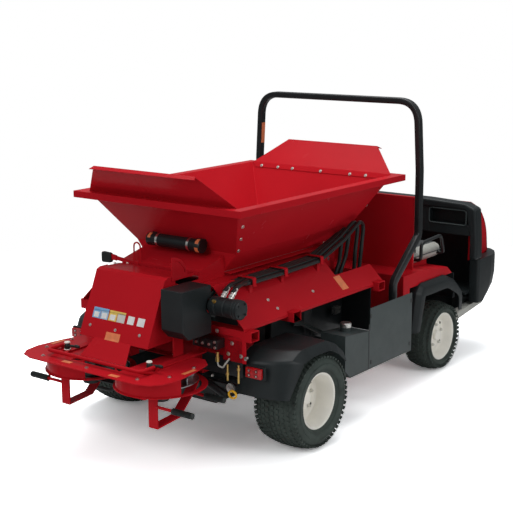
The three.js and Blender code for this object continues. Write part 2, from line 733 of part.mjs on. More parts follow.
// Conveyor frame: two side plates, ties, end flanges and feet on the cross tubes
function addConveyorFrame() {
  const c = conveyor;
  const outer = plateOuterX;
  const plate = block(c.plateInnerX, outer, c.rear, c.front, c.bottom, conveyorTop);
  const shelf = block(
    c.plateInnerX, outer + c.flangeWidth, hopper.waistRear - hopper.skin, hopper.baseFront + hopper.skin,
    conveyorTop - c.flangeThick, conveyorTop,
  );
  const endFlange = block(outer - c.endFlange, outer, c.rear, c.rear + c.flangeThick, c.bottom,
    conveyorTop);
  const feet = Object.values(crossTubes).map((tube) => block(
    c.plateInnerX, outer + c.flangeWidth, tube.y, tube.y + Math.min(c.tieDepth, c.front - tube.y),
    tube.z + crossTube.height + touchGap, c.bottom + c.flangeThick,
  ));
  const side = join(plate, shelf, endFlange, ...feet);
  const ties = Object.values(crossTubes).map((tube) => block(
    -outer, outer, tube.y, tube.y + Math.min(c.tieDepth, c.front - tube.y), c.bottom - c.tieDrop,
    c.bottom,
  ));
  const bores = [c.driveY, c.idlerY].map((y) => rod(
    [-outer - overrun, y, c.rollerZ], [outer + overrun, y, c.rollerZ], boreFor(c.shaftRadius,
    roundSides),
  ));
  addPiece('conveyor_frame', cut(join(side, mirrored(side), ...ties), ...bores), paintRed);
}

// Belt around both rollers
function beltOutline(radius) {
  const c = conveyor;
  const shape = new THREE.Shape();
  shape.absarc(c.driveY, c.rollerZ, radius, Math.PI / 2, Math.PI * 3 / 2, false);
  shape.absarc(c.idlerY, c.rollerZ, radius, -Math.PI / 2, Math.PI / 2, false);
  return shape.getPoints(roundSides / 2).map((point) => [point.x, point.y]);
}

function addConveyorBelt() {
  const c = conveyor;
  const inner = c.rollerRadius + touchGap;
  const band = prismX(beltOutline(inner + c.beltThick), -c.beltHalfWidth, c.beltHalfWidth);
  const space = prismX(beltOutline(inner), -c.beltHalfWidth - overrun, c.beltHalfWidth + overrun);
  addPiece('conveyor_belt', cut(band, space), rubberBlack);
}

// Roller on its shaft, as long as the frame is wide
function addRollers() {
  const c = conveyor;
  const inscribed = (c.rollerRadius + touchGap) * Math.cos(Math.PI / (roundSides * 2)) - touchGap;
  const end = plateOuterX;
  const profile = [
    [0, -end], [c.shaftRadius, -end], [c.shaftRadius, -c.rollerHalfWidth], [inscribed,
    -c.rollerHalfWidth],
    [inscribed, c.rollerHalfWidth], [c.shaftRadius, c.rollerHalfWidth], [c.shaftRadius, end], [0, end],
  ];
  for (const [name, y] of [['drive_roller', c.driveY], ['idler_roller', c.idlerY]]) {
    const roller = addPiece(name, turnedX(profile, roundSides), steelGrey);
    roller.position.set(0, y, c.rollerZ);
  }
}

// Square cross tube with open ends and a post on each rail
function crossTubeBody(tube) {
  const c = crossTube;
  const outer = block(-c.halfLength, c.halfLength, tube.y, tube.y + c.depth, tube.z, tube.z + c.height);
  const bore = block(
    rail.innerX, c.halfLength + overrun, tube.y + c.wall, tube.y + c.depth - c.wall,
    tube.z + c.wall, tube.z + c.height - c.wall,
  );
  const post = block(rail.innerX, railOuterX, tube.y, tube.y + c.depth, deckSeat, tube.z + overrun);
  return cut(join(outer, post, mirrored(post)), bore, mirrored(bore));
}

// Hanger plates and slide bars that carry the spinner attachment
function hangerBody() {
  const tube = crossTubes.rear;
  const g = hanger;
  const r = carriageRail;
  const face = block(g.innerX, g.outerX, tube.y, tube.y + g.thick, g.bottom, tube.z + overrun);
  const cheek = block(g.innerX, g.innerX + g.thick, tube.y, tube.y + crossTube.depth, g.bottom,
    tube.z + overrun);
  const barLow = deck.top + touchGap;
  const bar = block(r.innerX, r.innerX + r.width, r.rear, tube.y + crossTube.depth, barLow,
    barLow + r.thick);
  const slot = block(
    clamp.x - clamp.slotHalf, clamp.x + clamp.slotHalf, clamp.y - clamp.travel - clamp.slotHalf,
    clamp.y + clamp.slotHalf,
    barLow - overrun, barLow + r.thick + overrun,
  );
  const drop = block(
    r.innerX, r.innerX + r.width, tube.y, tube.y + g.thick, barLow + r.thick / 2, tube.z + overrun,
  );
  const brace = block(r.innerX, g.outerX, tube.y, tube.y + g.thick, barLow + r.thick / 2,
    barLow + g.braceHeight);
  return join(face, cheek, cut(bar, slot), drop, brace);
}

function addCrossTubes() {
  const right = hangerBody();
  addPiece('rear_cross_tube', join(crossTubeBody(crossTubes.rear), right, mirrored(right)), paintRed);
  addPiece('middle_cross_tube', crossTubeBody(crossTubes.middle), paintRed);
  addPiece('front_cross_tube', crossTubeBody(crossTubes.front), paintRed);
}

// Folded cover from the conveyor frame down to the cross tubes, lower in front
function coverBody() {
  const c = cover;
  const attach = plateOuterX + touchGap;
  const slope = (c.topZ - c.ridgeZ) / (c.ridgeX - c.topInset);
  const waistZ = c.topZ - slope * (c.waistX - c.topInset);
  const full = sheetOutline([[attach, c.topZ], [c.topInset, c.topZ], [c.ridgeX, c.ridgeZ], [c.ridgeX,
    c.lipZ]], -c.skin);
  const low = sheetOutline([[c.waistX, waistZ], [c.ridgeX, c.ridgeZ], [c.ridgeX, c.lipZ]], -c.skin);
  return join(prismY(full, c.rear, c.waistY), prismY(low, c.waistY - overrun, c.front));
}

function addSideCovers() {
  const tubes = Object.values(crossTubes).map((tube) => block(
    0, crossTube.halfLength + overrun, tube.y - touchGap, tube.y + crossTube.depth + touchGap,
    tube.z - overrun, tube.z + crossTube.height + touchGap,
  ));
  const shelfSpace = block(
    0, plateOuterX + conveyor.flangeWidth + touchGap, cover.rear - overrun, cover.front + overrun,
    conveyorTop - conveyor.flangeThick - touchGap, conveyorTop + overrun,
  );
  const plain = cut(coverBody(), ...tubes, shelfSpace);
  const saddles = clampYs.map((y) => block(
    clampBlock.innerX, clampBlock.outerX, y - clampBlock.halfLength, y + clampBlock.halfLength,
    cover.topZ - cover.ridgeX + clampBlock.innerX, clampBlock.top,
  ));
  const underside = prismY([
    [plateOuterX, 0], [plateOuterX, cover.topZ], [cover.topInset, cover.topZ], [cover.ridgeX,
    cover.ridgeZ],
    [cover.ridgeX, 0],
  ], cover.rear - overrun, cover.front + overrun);
  const posts = saddles.map((saddle) => cut(saddle, underside));
  addPiece('right_side_cover', join(plain, ...posts), paintRed);
  addPiece('left_side_cover', mirrored(plain), paintRed);
}

// Hydraulic motor that turns the drive roller
function addConveyorMotor() {
  const m = motor;
  const c = conveyor;
  const start = plateOuterX + touchGap;
  const body = turnedX([
    [0, start], [m.flangeRadius, start], [m.flangeRadius, start + m.flangeThick], [m.neckRadius,
    start + m.flangeThick],
    [m.neckRadius, m.bodyX], [m.bodyRadius, m.bodyX], [m.bodyRadius, m.capX], [m.capRadius, m.endX], [0,
    m.endX],
  ], roundSides);
  const heading = [Math.sin(m.portLean), Math.cos(m.portLean)];
  const ports = m.portXs.map((x) => rod(
    [x, 0, 0], [x, heading[0] * (m.bodyRadius + m.portReach), heading[1] * (m.bodyRadius + m.portReach)],
    m.portRadius, smallSides,
  ));
  const mesh = addPiece('conveyor_motor', join(body, ...ports), charcoal);
  mesh.position.set(0, c.driveY, c.rollerZ);
}

// Chain guard beside the conveyor, with a notch round the motor
function addChainGuard() {
  const g = chainGuard;
  const start = plateOuterX + touchGap;
  const body = prismX([
    [g.front, g.bottom], [g.front, g.top], [g.rear, g.top], [g.rear, g.bottom + g.chamfer],
    [g.rear + g.chamfer, g.bottom],
  ], start, g.outerX);
  const notch = rod(
    [start - overrun, conveyor.driveY, conveyor.rollerZ], [g.outerX + overrun, conveyor.driveY,
    conveyor.rollerZ],
    boreFor(motor.flangeRadius, roundSides),
  );
  addPiece('chain_guard', cut(body, notch), charcoal);
}

function addHoses() {
  const runs = [['supply_hose', supplyRoute, supplyDrop], ['return_hose', returnRoute, returnDrop]];
  for (const [name, lay, drop] of runs) {
    const route = [...lay, ...drop.map(([x, y, z]) => [x, wheelbase + y, z])];
    addPiece(name, bentTube(route, hose.radius, hose.bendRadius, hose.bendSteps, hose.sides),
      rubberBlack);
  }
}

// Throat behind the hopper's outlet, with the lever's plate, its loop and the quadrant
function addGateBracket() {
  const t = throat;
  const g = gate;
  const q = quadrant;
  const front = hopper.waistRear - hopper.skin - touchGap;
  const inner = conveyor.plateInnerX;
  const slope = [[front, t.top], [t.rear, t.rearTop]];
  const cheek = prismX([...slope, [t.rear, hopper.baseZ], [front, hopper.baseZ]], inner, plateOuterX);
  const roof = prismX([...slope, [t.rear, t.rearTop - t.thick], [front, t.top - t.thick]],
    -plateOuterX, plateOuterX);
  const bar = block(-plateOuterX, plateOuterX, t.rear, t.rear + t.thick, t.barBottom,
    t.rearTop - t.thick / 2);
  const hole = rod(
    [-plateOuterX - overrun, g.pivotY, g.pivotZ], [plateOuterX + overrun, g.pivotY, g.pivotZ],
    boreFor(g.pinRadius, smallSides), smallSides,
  );
  const ring = cut(
    loopBody(loop.outerX - loop.innerX, loop.top, 0),
    loopBody(loop.outerX - loop.innerX - loop.bar * 2, loop.top - loop.bar, overrun),
  );
  const radius = q.front - q.rear;
  const plate = quadrantBody(0, radius, 0, Math.PI / 2, 0);
  const slot = quadrantBody(radius - q.slotInset - q.slot, radius - q.slotInset, q.slotFrom, q.slotTo,
    overrun);
  const arm = block(q.x, q.x + q.thick, q.front - q.slotInset, t.rear + t.thick / 2, q.bottom,
    q.bottom + q.slotInset);
  const body = join(cheek, mirrored(cheek), roof, bar, ring, cut(plate, slot), arm);
  addPiece('gate_bracket', cut(body, hole), paintRed);
}

// An upright loop of flat bar with a round top
function loopBody(width, top, extra) {
  const middle = (loop.innerX + loop.outerX) / 2;
  const half = width / 2;
  const shape = new THREE.Shape();
  shape.moveTo(middle - half, throat.barBottom + overrun - extra);
  shape.lineTo(middle + half, throat.barBottom + overrun - extra);
  shape.absarc(middle, top - half, half, 0, Math.PI, false);
  const points = shape.getPoints(smallSides).map((point) => [point.x, point.y]);
  return prismY(points, throat.rear - extra, throat.rear + throat.thick + extra);
}

// A sector of a ring that stands beside the hood
function quadrantBody(inner, outer, from, to, extra) {
  const q = quadrant;
  const shape = new THREE.Shape();
  shape.absarc(q.rear, q.bottom, outer, from, to, false);
  if (inner > 0) {
    shape.absarc(q.rear, q.bottom, inner, to, from, true);
  } else {
    shape.lineTo(q.rear, q.bottom);
  }
  const points = shape.getPoints(smallSides / 2).map((point) => [point.x, point.y]);
  return prismX(points, q.x - extra, q.x + q.thick + extra);
}

// Swinging gate plate on its pin
function addFeedGate() {
  const g = gate;
  const sheet = block(
    -g.halfWidth, g.halfWidth, -g.thick / 2, g.thick / 2, g.bottom - g.pivotZ, 0,
  );
  const pin = rod([-plateOuterX, 0, 0], [plateOuterX, 0, 0], g.pinRadius, smallSides);
  const mesh = addPiece('feed_gate', join(sheet, pin), paintRed);
  mesh.position.set(0, g.pivotY, g.pivotZ);
}

// Hand lever that works the gate, with a rubber grip
function addGateLever() {
  const l = lever;
  const back = throat.rear - touchGap - l.thick;
  const slope = l.rise / (l.pivotX - l.tipX);
  const arm = prismY([
    [0, -l.height / 2], [0, l.height / 2], [l.tipX - l.pivotX, l.height / 2 + l.rise],
    [l.tipX - l.pivotX, l.rise - l.height / 2],
  ], back, back + l.thick);
  const gripRise = (l.pivotX - l.gripStart) * slope;
  const half = l.height / 2 + l.gripExtra;
  const grip = prismY([
    [l.gripStart - l.pivotX, gripRise - half], [l.gripStart - l.pivotX, gripRise + half],
    [l.tipX - l.pivotX, l.rise + half], [l.tipX - l.pivotX, l.rise - half],
  ], back - l.gripExtra, back + l.thick);
  const boss = rod([0, back - l.thick, 0], [0, back + l.thick, 0], l.bossRadius);
  const mesh = addPiece('gate_lever', join(arm, grip, boss), paintRed);
  mesh.position.set(l.pivotX, 0, l.pivotZ);
}

// Sloping hood over the conveyor's end, its cheeks and the tongue that guides the material
function addRearHood() {
  const h = hood;
  const line = [[h.frontY, h.frontZ], [h.topY, h.topZ], [h.browY, h.browZ], [h.lowY, h.lowZ]];
  const top = prismX(sheetOutline(line, h.skin), -h.halfWidth, h.halfWidth);
  const cheekPoints = [
    [h.cheekFrontY, h.cheekBottom], [h.cheekFrontY, h.topZ], [h.topY, h.topZ], [h.browY, h.browZ],
    [h.lowY, h.lowZ],
  ];
  const cheek = prismX(cheekPoints, h.halfWidth - h.skin, h.halfWidth);
  const run = direction([h.lowY, h.lowZ], [h.tongueY, h.tongueZ]);
  const skinUp = [run[1] * h.skin, -run[0] * h.skin];
  const lowEdge = (half, y, z) => [
    [-half, y, z], [half, y, z], [half, y + skinUp[0], z + skinUp[1]], [-half, y + skinUp[0],
    z + skinUp[1]],
  ];
  const overlapY = h.lowY - run[0] * h.skin;
  const overlapZ = h.lowZ - run[1] * h.skin;
  const tongue = loft([
    lowEdge(h.tongueBottomHalf, h.tongueY, h.tongueZ), lowEdge(h.tongueTopHalf, overlapY, overlapZ),
  ]);
  addPiece('rear_hood', join(top, cheek, mirrored(cheek), tongue), paintRed);
}

// Tube for papers, strapped to the hopper's rear wall
function addDocumentTube() {
  const d = documentTube;
  const h = hopper;
  const wallRun = direction([h.waistRear - h.skin, h.waistZ], [h.topRear - h.skin, h.topZ]);
  const away = [-wallRun[1], wallRun[0]];
  const reach = d.capRadius + d.standOff;
  const wallZ = d.z - away[1] * reach;
  const wallY = h.waistRear - h.skin + (wallZ - h.waistZ) * wallRun[0] / wallRun[1];
  const centre = [wallY + away[0] * reach, d.z];
  const tube = turnedX([
    [0, -d.halfLength], [d.capRadius, -d.halfLength], [d.capRadius, d.capLength - d.halfLength],
    [d.radius, d.capLength - d.halfLength], [d.radius, d.halfLength - d.capLength],
    [d.capRadius, d.halfLength - d.capLength], [d.capRadius, d.halfLength], [0, d.halfLength],
  ], roundSides);
  const padEnd = reach - touchGap;
  const side = [wallRun[0] * d.padHalf, wallRun[1] * d.padHalf];
  const pads = [-d.halfLength, d.halfLength - d.capLength].map((x) => prismX([
    [side[0], side[1]], [-side[0], -side[1]],
    [-side[0] - away[0] * padEnd, -side[1] - away[1] * padEnd], [side[0] - away[0] * padEnd,
    side[1] - away[1] * padEnd],
  ], x, x + d.capLength));
  const mesh = addPiece('document_tube', join(tube, ...pads), charcoal);
  mesh.position.set(0, centre[0], centre[1]);
}

// Spinner attachment

function deckOutline() {
  const d = deck;
  const half = [
    [d.rearHalf, d.rearY], [d.shoulderX, d.shoulderY], [d.cornerX, d.cornerY], [d.sideX, d.sideY],
    [d.waistX, d.waistY], [d.neckX, d.neckY], [d.noseX, d.noseY],
  ];
  return [...half, ...half.map(([x, y]) => [-x, y]).reverse()];
}

// Upright skirt round the rear of one disc
function skirtBody() {
  const s = skirt;
  const toRadians = Math.PI / 180;
  const arc = new THREE.Shape();
  arc.absarc(0, 0, s.radius, skirtArc.from * toRadians, skirtArc.to * toRadians, false);
  arc.absarc(0, 0, s.radius - s.thick, skirtArc.to * toRadians, skirtArc.from * toRadians, true);
  const wall = prismZ(arc.getPoints(skirtArc.steps).map((p) => [p.x, p.y]), s.bottom - s.thick / 2,
    deck.top - deck.thick / 2);
  const ring = turnedZ([
    [s.ringInner, s.bottom - s.thick], [s.ringOuter, s.bottom - s.thick], [s.ringOuter, s.bottom],
    [s.ringInner, s.bottom], [s.ringInner, s.bottom - s.thick],
  ], skirtArc.sides);
  return shifted(join(wall, ring), s.centreX, s.centreY, 0);
}

function addSpinnerDeck() {
  const d = deck;
  const g = guardBar;
  const plate = prismZ(deckOutline(), d.top - d.thick, d.top);
  const mouth = block(-d.mouthHalf, d.mouthHalf, d.mouthRear, d.mouthFront, d.top - d.thick - overrun,
    d.top + overrun);
  const skirts = skirtBody();
  const foot = d.top - d.thick / 2;
  const bar = bentTube([
    [-g.halfWidth, g.footY, foot], [-g.halfWidth, g.rearY, g.z], [g.halfWidth, g.rearY, g.z],
    [g.halfWidth, g.footY, foot],
  ], g.radius, g.bend, hose.bendSteps, smallSides);
  addPiece('spinner_deck', join(cut(plate, mouth), skirts, mirrored(skirts), bar), paintRed);
}

// Spreading disc with upright vanes, turning on its motor's shaft
function discBody() {
  const d = disc;
  const base = d.bottom;
  const plate = turnedZ([
    [0, base], [d.radius, base], [d.radius, base + d.thick], [d.hubRadius, base + d.thick],
    [d.hubRadius, base + d.hubHeight], [0, base + d.hubHeight],
  ], roundSides * 2);
  const vanes = [];
  for (let i = 0; i < d.vanes; i += 1) {
    const vane = block(
      d.hubRadius / 2, d.radius - d.vaneHeight / 2, -d.vaneThick / 2, d.vaneThick / 2,
      base + d.thick / 2, base + d.thick + d.vaneHeight,
    );
    vanes.push(placed(vane, new THREE.Matrix4().makeRotationZ(i * Math.PI * 2 / d.vanes)));
  }
  return join(plate, ...vanes);
}

function addDiscs() {
  for (const [name, sign] of [['left_spinner_disc', -1], ['right_spinner_disc', 1]]) {
    const mesh = addPiece(name, discBody(), steelGrey);
    mesh.position.set(sign * skirt.centreX, skirt.centreY, 0);
  }
}

// Motor plate between the leg frames, with a motor under each disc
function addSpinnerDrive() {
  const d = drive;
  const reach = leg.innerX - touchGap;
  const plate = block(-reach, reach, d.plateRear, d.plateFront, d.plateTop - d.plateThick, d.plateTop);
  const motorBody = turnedZ([
    [0, d.motorBottom], [d.motorRadius, d.motorBottom], [d.motorRadius, disc.bottom - d.neckRadius],
    [d.neckRadius, disc.bottom - d.neckRadius], [d.neckRadius, disc.bottom - touchGap], [0,
    disc.bottom - touchGap],
  ], roundSides);
  const pair = [-1, 1].map((sign) => shifted(motorBody, sign * skirt.centreX, skirt.centreY, 0));
  addPiece('spinner_drive', join(plate, ...pair), ironDark);
}

// Where the front upright of a leg stands at a height
function legFrontY(z) {
  const l = leg;
  const top = skirt.bottom - skirt.thick - touchGap;
  return l.kneeY + (l.frontY - l.kneeY) * (z - l.kneeZ) / (top - l.kneeZ);
}

// Bent flat bar under the deck, with two rods for the hand grips
function addLegFrames() {
  const l = leg;
  const top = skirt.bottom - skirt.thick - touchGap;
  const bar = prismX(sheetOutline([
    [l.topY, top - l.thick], [l.postY, top - l.thick], [l.postY, l.bottomZ], [l.toeY, l.toeZ],
    [l.kneeY, l.kneeZ], [l.frontY, top],
  ], l.thick), l.innerX, l.outerX);
  const mask = block(
    l.innerX - overrun, l.outerX + overrun, l.topY - l.outerX, l.frontY + l.outerX, 0, top,
  );
  const rods = gripPlaces().map(({ start, y }) => rod(
    [l.outerX - overrun, y, handle.z], [start + handle.gripBore, y, handle.z], handle.rodRadius,
    smallSides,
  ));
  addPair('leg_frame', join(bar.intersect(mask), ...rods), paintRed);
}

// The grips' starts, ends and places along the machine, rear one first
function gripPlaces() {
  return [
    { name: 'rear', start: handle.rearStart, end: handle.rearEnd,
    y: leg.postY + leg.thick / 2 },
    { name: 'front', start: handle.frontStart, end: handle.frontEnd,
    y: legFrontY(handle.z) - leg.thick / 2 },
  ];
}

// Rubber grip with a blind bore for its rod
function addGrips() {
  const h = handle;
  const bore = boreFor(h.rodRadius, roundSides);
  for (const place of gripPlaces()) {
    const body = turnedX([
      [bore, place.start], [h.gripRadius, place.start], [h.gripRadius, place.end], [0, place.end],
      [0, place.start + h.gripBore + touchGap], [bore, place.start + h.gripBore + touchGap], [bore,
      place.start],
    ], roundSides);
    addPair(`${place.name}_grip`, shifted(body, 0, place.y, h.z), rubberBlack);
  }
}

// Clamp lever on each slide bar
function addClampLevers() {
  const c = clamp;
  const seatZ = deck.top + touchGap + carriageRail.thick + touchGap;
  const washer = turnedZ([
    [0, deck.top + touchGap], [c.studRadius, deck.top + touchGap], [c.studRadius, seatZ],
    [c.washerRadius, seatZ],
    [c.washerRadius, seatZ + c.washerThick],
    [c.studRadius, seatZ + c.washerThick], [c.studRadius, seatZ + c.armRise], [0, seatZ + c.armRise],
  ], roundSides);
  const arm = rod([0, 0, seatZ + c.armRise - c.armRadius], [c.armLength, 0,
    seatZ + c.armRise + c.armRadius], c.armRadius,
    smallSides);
  for (const [name, sign] of [['left_clamp_lever', -1], ['right_clamp_lever', 1]]) {
    const mesh = addPiece(name, join(washer, arm), charcoal);
    mesh.position.set(sign * c.x, c.y, 0);
  }
}

// Carrier superstructure

// Roll-over hoop of bent tube on a beam across the rails
function addHoop() {
  const h = hoop;
  const beamTop = deckSeat + h.beamHeight;
  const half = [
    [h.topX, h.y, h.topZ], [h.x, h.y, h.shoulderZ], [h.x, h.y, h.kneeZ], [h.x, h.footY, h.footZ],
    [h.x, h.footY, beamTop - overrun],
  ];
  const left = half.map(([x, y, z]) => [-x, y, z]).reverse();
  const tube = bentTube([...left, ...half], h.tubeRadius, h.bendRadius, hose.bendSteps, h.sides);
  const beam = block(
    -h.beamHalfLength, h.beamHalfLength, h.footY - h.beamDepth / 2, h.footY + h.beamDepth / 2, deckSeat,
    beamTop,
  );
  addPiece('rops_hoop', join(tube, beam), charcoal);
}

// The arch of a rear fender in Y and Z, drawn in by a distance
function rearFenderOutline(inset) {
  const f = rearFender;
  return [
    [f.rearY + inset, f.rearZ], [f.rearY + inset, f.rearTopZ - inset / 2], [f.crestRearY,
    f.crestZ - inset],
    [f.crestFrontY, f.crestZ - inset], [f.frontTopY - inset, f.frontTopZ - inset / 2],
    [f.frontY - inset, f.frontZ],
  ];
}

function addRearFenders() {
  const f = rearFender;
  const t = tailLight;
  const ring = (inset, x) => rearFenderOutline(inset).map(([y, z]) => [x, y, z]);
  const outer = loft([ring(0, f.innerX), ring(0, f.bevelX), ring(f.bevel, f.outerX)]);
  const deeper = (inset, x) => ring(inset, x).map(([, y, z]) => [x, y,
    z === f.rearZ || z === f.frontZ ? z - overrun : z]);
  const space = loft([
    deeper(f.wall, f.innerX - overrun), deeper(f.wall, f.bevelX), deeper(f.bevel + f.wall,
    f.outerX - f.wall),
  ]);
  const opening = loft([deeper(f.edge, f.outerX - f.wall - overrun), deeper(f.edge,
    f.outerX + overrun)]);
  const stay = block(
    railOuterX + touchGap, f.innerX + overrun, f.stayRear, f.stayRear + f.stayDepth, f.stayBottom,
    f.stayBottom + f.stayHeight,
  );
  const lamp = block(t.innerX, t.outerX, f.rearY - t.reach, f.rearY + f.wall / 2, t.bottom, t.top);
  addPair('rear_fender', join(cut(outer, space, opening), stay, lamp), charcoal);
}

// The arch of a front fender in Y and Z, drawn in by a distance
function frontFenderOutline(inset) {
  const f = frontFender;
  return [
    [f.rearY + inset, f.rearZ], [f.rearTopY + inset, f.rearTopZ - inset], [f.crestRearY + inset / 2,
    f.crestZ - inset],
    [f.crestFrontY - inset / 2, f.crestZ - inset], [f.frontTopY - inset / 2, f.frontTopZ - inset],
    [f.frontY - inset, f.frontMidZ - inset / 2], [f.frontY - inset, f.frontZ],
  ];
}

function addFrontFenders() {
  const f = frontFender;
  const outline = frontFenderOutline(0);
  const body = prismX(outline, f.innerX, f.outerX);
  const lowered = (points) => points.map(([y, z]) => [y,
    z === f.rearZ || z === f.frontZ ? z - overrun : z]);
  const space = prismX(lowered(frontFenderOutline(f.wall)), f.innerX - overrun, f.outerX - f.wall);
  const opening = prismX(lowered(frontFenderOutline(f.edge)), f.outerX - f.wall - overrun,
    f.outerX + overrun);
  const turning = block(f.innerX - overrun, f.turnX, f.turnY, f.frontY + overrun, f.frontZ - overrun,
    f.turnZ);
  addPair('front_fender', cut(body, space, opening, turning), charcoal);
}

// Flat side panel with the tank behind it
function addSidePanels() {
  const p = sidePanel;
  const panel = block(p.outerX - p.thick, p.outerX, p.rear, p.front, p.bottom, p.top);
  const tank = prismX([
    [p.tankRear, p.bottom + p.tankChamfer], [p.tankRear, p.tankTop], [p.rear, p.tankFrontTop],
    [p.rear + p.thick, p.bottom],
    [p.tankRear + p.tankChamfer, p.bottom],
  ], p.tankInner, p.outerX);
  const stayYs = [p.rear, p.front - p.stayDepth];
  const stays = stayYs.map((y) => block(
    railOuterX + touchGap, p.outerX - p.thick / 2, y, y + p.stayDepth, p.stayBottom,
    p.stayBottom + p.stayHeight,
  ));
  const capX = (p.tankInner + p.outerX) / 2;
  const capY = (p.tankRear + p.rear) / 2;
  const cap = rod([capX, capY, p.tankFrontTop - p.capHeight], [capX, capY, p.tankTop + p.capHeight],
    p.capRadius);
  addPair('side_panel', join(panel, tank, ...stays, cap), panelGrey);
}

// Red cab body: rear wall, tunnel between the wheels, seat shelf and the shroud behind the seats
function addCabBody() {
  const c = cab;
  const s = shroud;
  const shelf = prismX([
    [c.wallRear, c.shelfZ], [c.wallRear, c.seatZ], [s.y + s.thick, c.seatZ], [c.noseY, c.noseZ],
    [c.lipY, c.lipZ],
    [c.lipY, c.shelfZ],
  ], -c.halfWidth, c.halfWidth);
  const tunnel = block(-c.tunnelHalf, c.tunnelHalf, c.wallRear, c.tunnelFront, deckSeat,
    c.shelfZ + overrun);
  const wall = block(c.tunnelHalf - overrun, c.halfWidth, c.wallRear, c.wallFront, c.wallBottom,
    c.shelfZ + overrun);
  const plinth = block(
    seat.centreX - seat.halfWidth + seat.corner, seat.centreX + seat.halfWidth - seat.corner, seat.rear,
    c.noseY,
    c.shelfZ, c.seatZ,
  );
  const panel = block(-s.halfWidth, s.halfWidth, s.y, s.y + s.thick, c.seatZ - overrun, s.top);
  const fold = block(-s.halfWidth, s.halfWidth, s.y, s.y + s.returnDepth, s.top - s.thick, s.top);
  addPiece('cab_body', join(shelf, tunnel, wall, mirrored(wall), plinth, mirrored(plinth), panel, fold),
    paintRed);
}

// Black dash, footwell floor, front wall, side fairings and wrap-round bumper
function addDashCowl() {
  const d = dash;
  const f = fairing;
  const b = bumper;
  const floorTop = deckSeat + d.floorThick;
  const box = block(-d.halfWidth, d.halfWidth, d.rear, d.front, d.bottom, d.top);
  const recess = block(
    d.recessInner, d.recessOuter, d.rear - overrun, d.rear + d.recessDepth, d.recessBottom, d.recessTop,
  );
  const floor = block(-d.floorHalf, d.floorHalf, d.floorRear, d.wallY + d.wallThick, deckSeat, floorTop);
  const wallHalf = nose.halfWidth - nose.skin * 2;
  const wall = block(-wallHalf, wallHalf, d.wallY, d.wallY + d.wallThick, deckSeat, d.wallTop);
  const lid = prismX(sheetOutline([
    [d.front - overrun, nose.rearTop - nose.skin * 2], [d.wallY, d.wallTop - d.coverThick],
  ], -d.coverThick), -wallHalf, wallHalf);
  const side = prismX([
    [f.rear, b.cornerTop - overrun], [f.rear, f.top - f.brow], [f.rear + f.brow, f.top],
    [f.front - f.brow, f.top - f.brow],
    [f.front, b.cornerTop - overrun],
  ], f.innerX, f.outerX);
  const corner = prismZ([
    [b.innerX, b.rear], [b.outerX, b.rear], [b.outerX, b.barBack - b.chamfer / 2],
    [b.outerX - b.chamfer, b.front],
    [b.innerX, b.front],
  ], b.bottom, b.cornerTop);
  const barTop = b.top - touchGap * 2;
  const bar = block(-b.innerX - overrun, b.innerX + overrun, b.barBack, b.front, b.bottom, barTop);
  const skid = block(-d.floorHalf, d.floorHalf, d.wallY, b.barBack + overrun, deckSeat, floorTop);
  const sills = block(-b.innerX - overrun, b.innerX + overrun, b.rear, d.wallY, deckSeat, floorTop);
  const column = placed(
    rod([0, 0, -wheel.columnLength], [0, 0, -wheel.hubHeight / 2 - touchGap], wheel.columnRadius,
    smallSides), wheelFrame(),
  );
  const body = join(box, floor, wall, lid, side, mirrored(side), corner, mirrored(corner), bar, skid,
    sills, column);
  addPiece('dash_cowl', cut(body, recess), charcoal);
}

// Red hood sheet over the front wall, with side cheeks
function addNoseHood() {
  const n = nose;
  const line = [[n.rear, n.rearTop], [n.shoulderY, n.shoulderZ], [n.browY, n.browZ], [n.frontY,
    n.bottom]];
  const sheet = prismX(sheetOutline(line, -n.skin), -n.halfWidth, n.halfWidth);
  const cheek = prismX([...line, [n.rear, n.bottom]], n.halfWidth - n.skin, n.halfWidth);
  const dashSpace = block(
    -dash.halfWidth, dash.halfWidth, dash.rear, dash.front + touchGap, n.bottom - overrun,
    n.rearTop + overrun,
  );
  addPiece('nose_hood', cut(join(sheet, cheek, mirrored(cheek)), dashSpace), paintRed);
}

// Steering wheel in its own tilted frame

function wheelFrame() {
  const w = wheel;
  const tilt = new THREE.Matrix4().makeRotationX(w.lean);
  return new THREE.Matrix4().makeTranslation(w.x, w.y, w.z).multiply(tilt);
}

function addSteeringWheel() {
  const w = wheel;
  const ring = solid(new THREE.TorusGeometry(w.ringRadius, w.ringTube, w.tubeSides, w.ringSides));
  const hub = rod([0, 0, -w.hubHeight / 2], [0, 0, w.hubHeight / 2], w.hubRadius);
  const spokes = [0, 1, 2].map((i) => placed(
    block(0, w.ringRadius, -w.spokeHalf, w.spokeHalf, -w.spokeThick / 2, w.spokeThick / 2),
    new THREE.Matrix4().makeRotationZ(Math.PI / 2 + i * Math.PI * 2 / 3),
  ));
  const mesh = addPiece('steering_wheel', join(ring, hub, ...spokes), charcoal);
  mesh.position.set(w.x, w.y, w.z);
  mesh.rotation.x = w.lean;
}

// Seats

// A level ring with round corners, drawn in by a distance
function roundedRing(halfX, y0, y1, z, radius) {
  const shape = new THREE.Shape();
  shape.absarc(halfX - radius, y0 + radius, radius, -Math.PI / 2, 0, false);
  shape.absarc(halfX - radius, y1 - radius, radius, 0, Math.PI / 2, false);
  shape.absarc(radius - halfX, y1 - radius, radius, Math.PI / 2, Math.PI, false);
  shape.absarc(radius - halfX, y0 + radius, radius, Math.PI, Math.PI * 3 / 2, false);
  return shape.getPoints(seat.cornerSteps).map((point) => [point.x, point.y, z]);
}

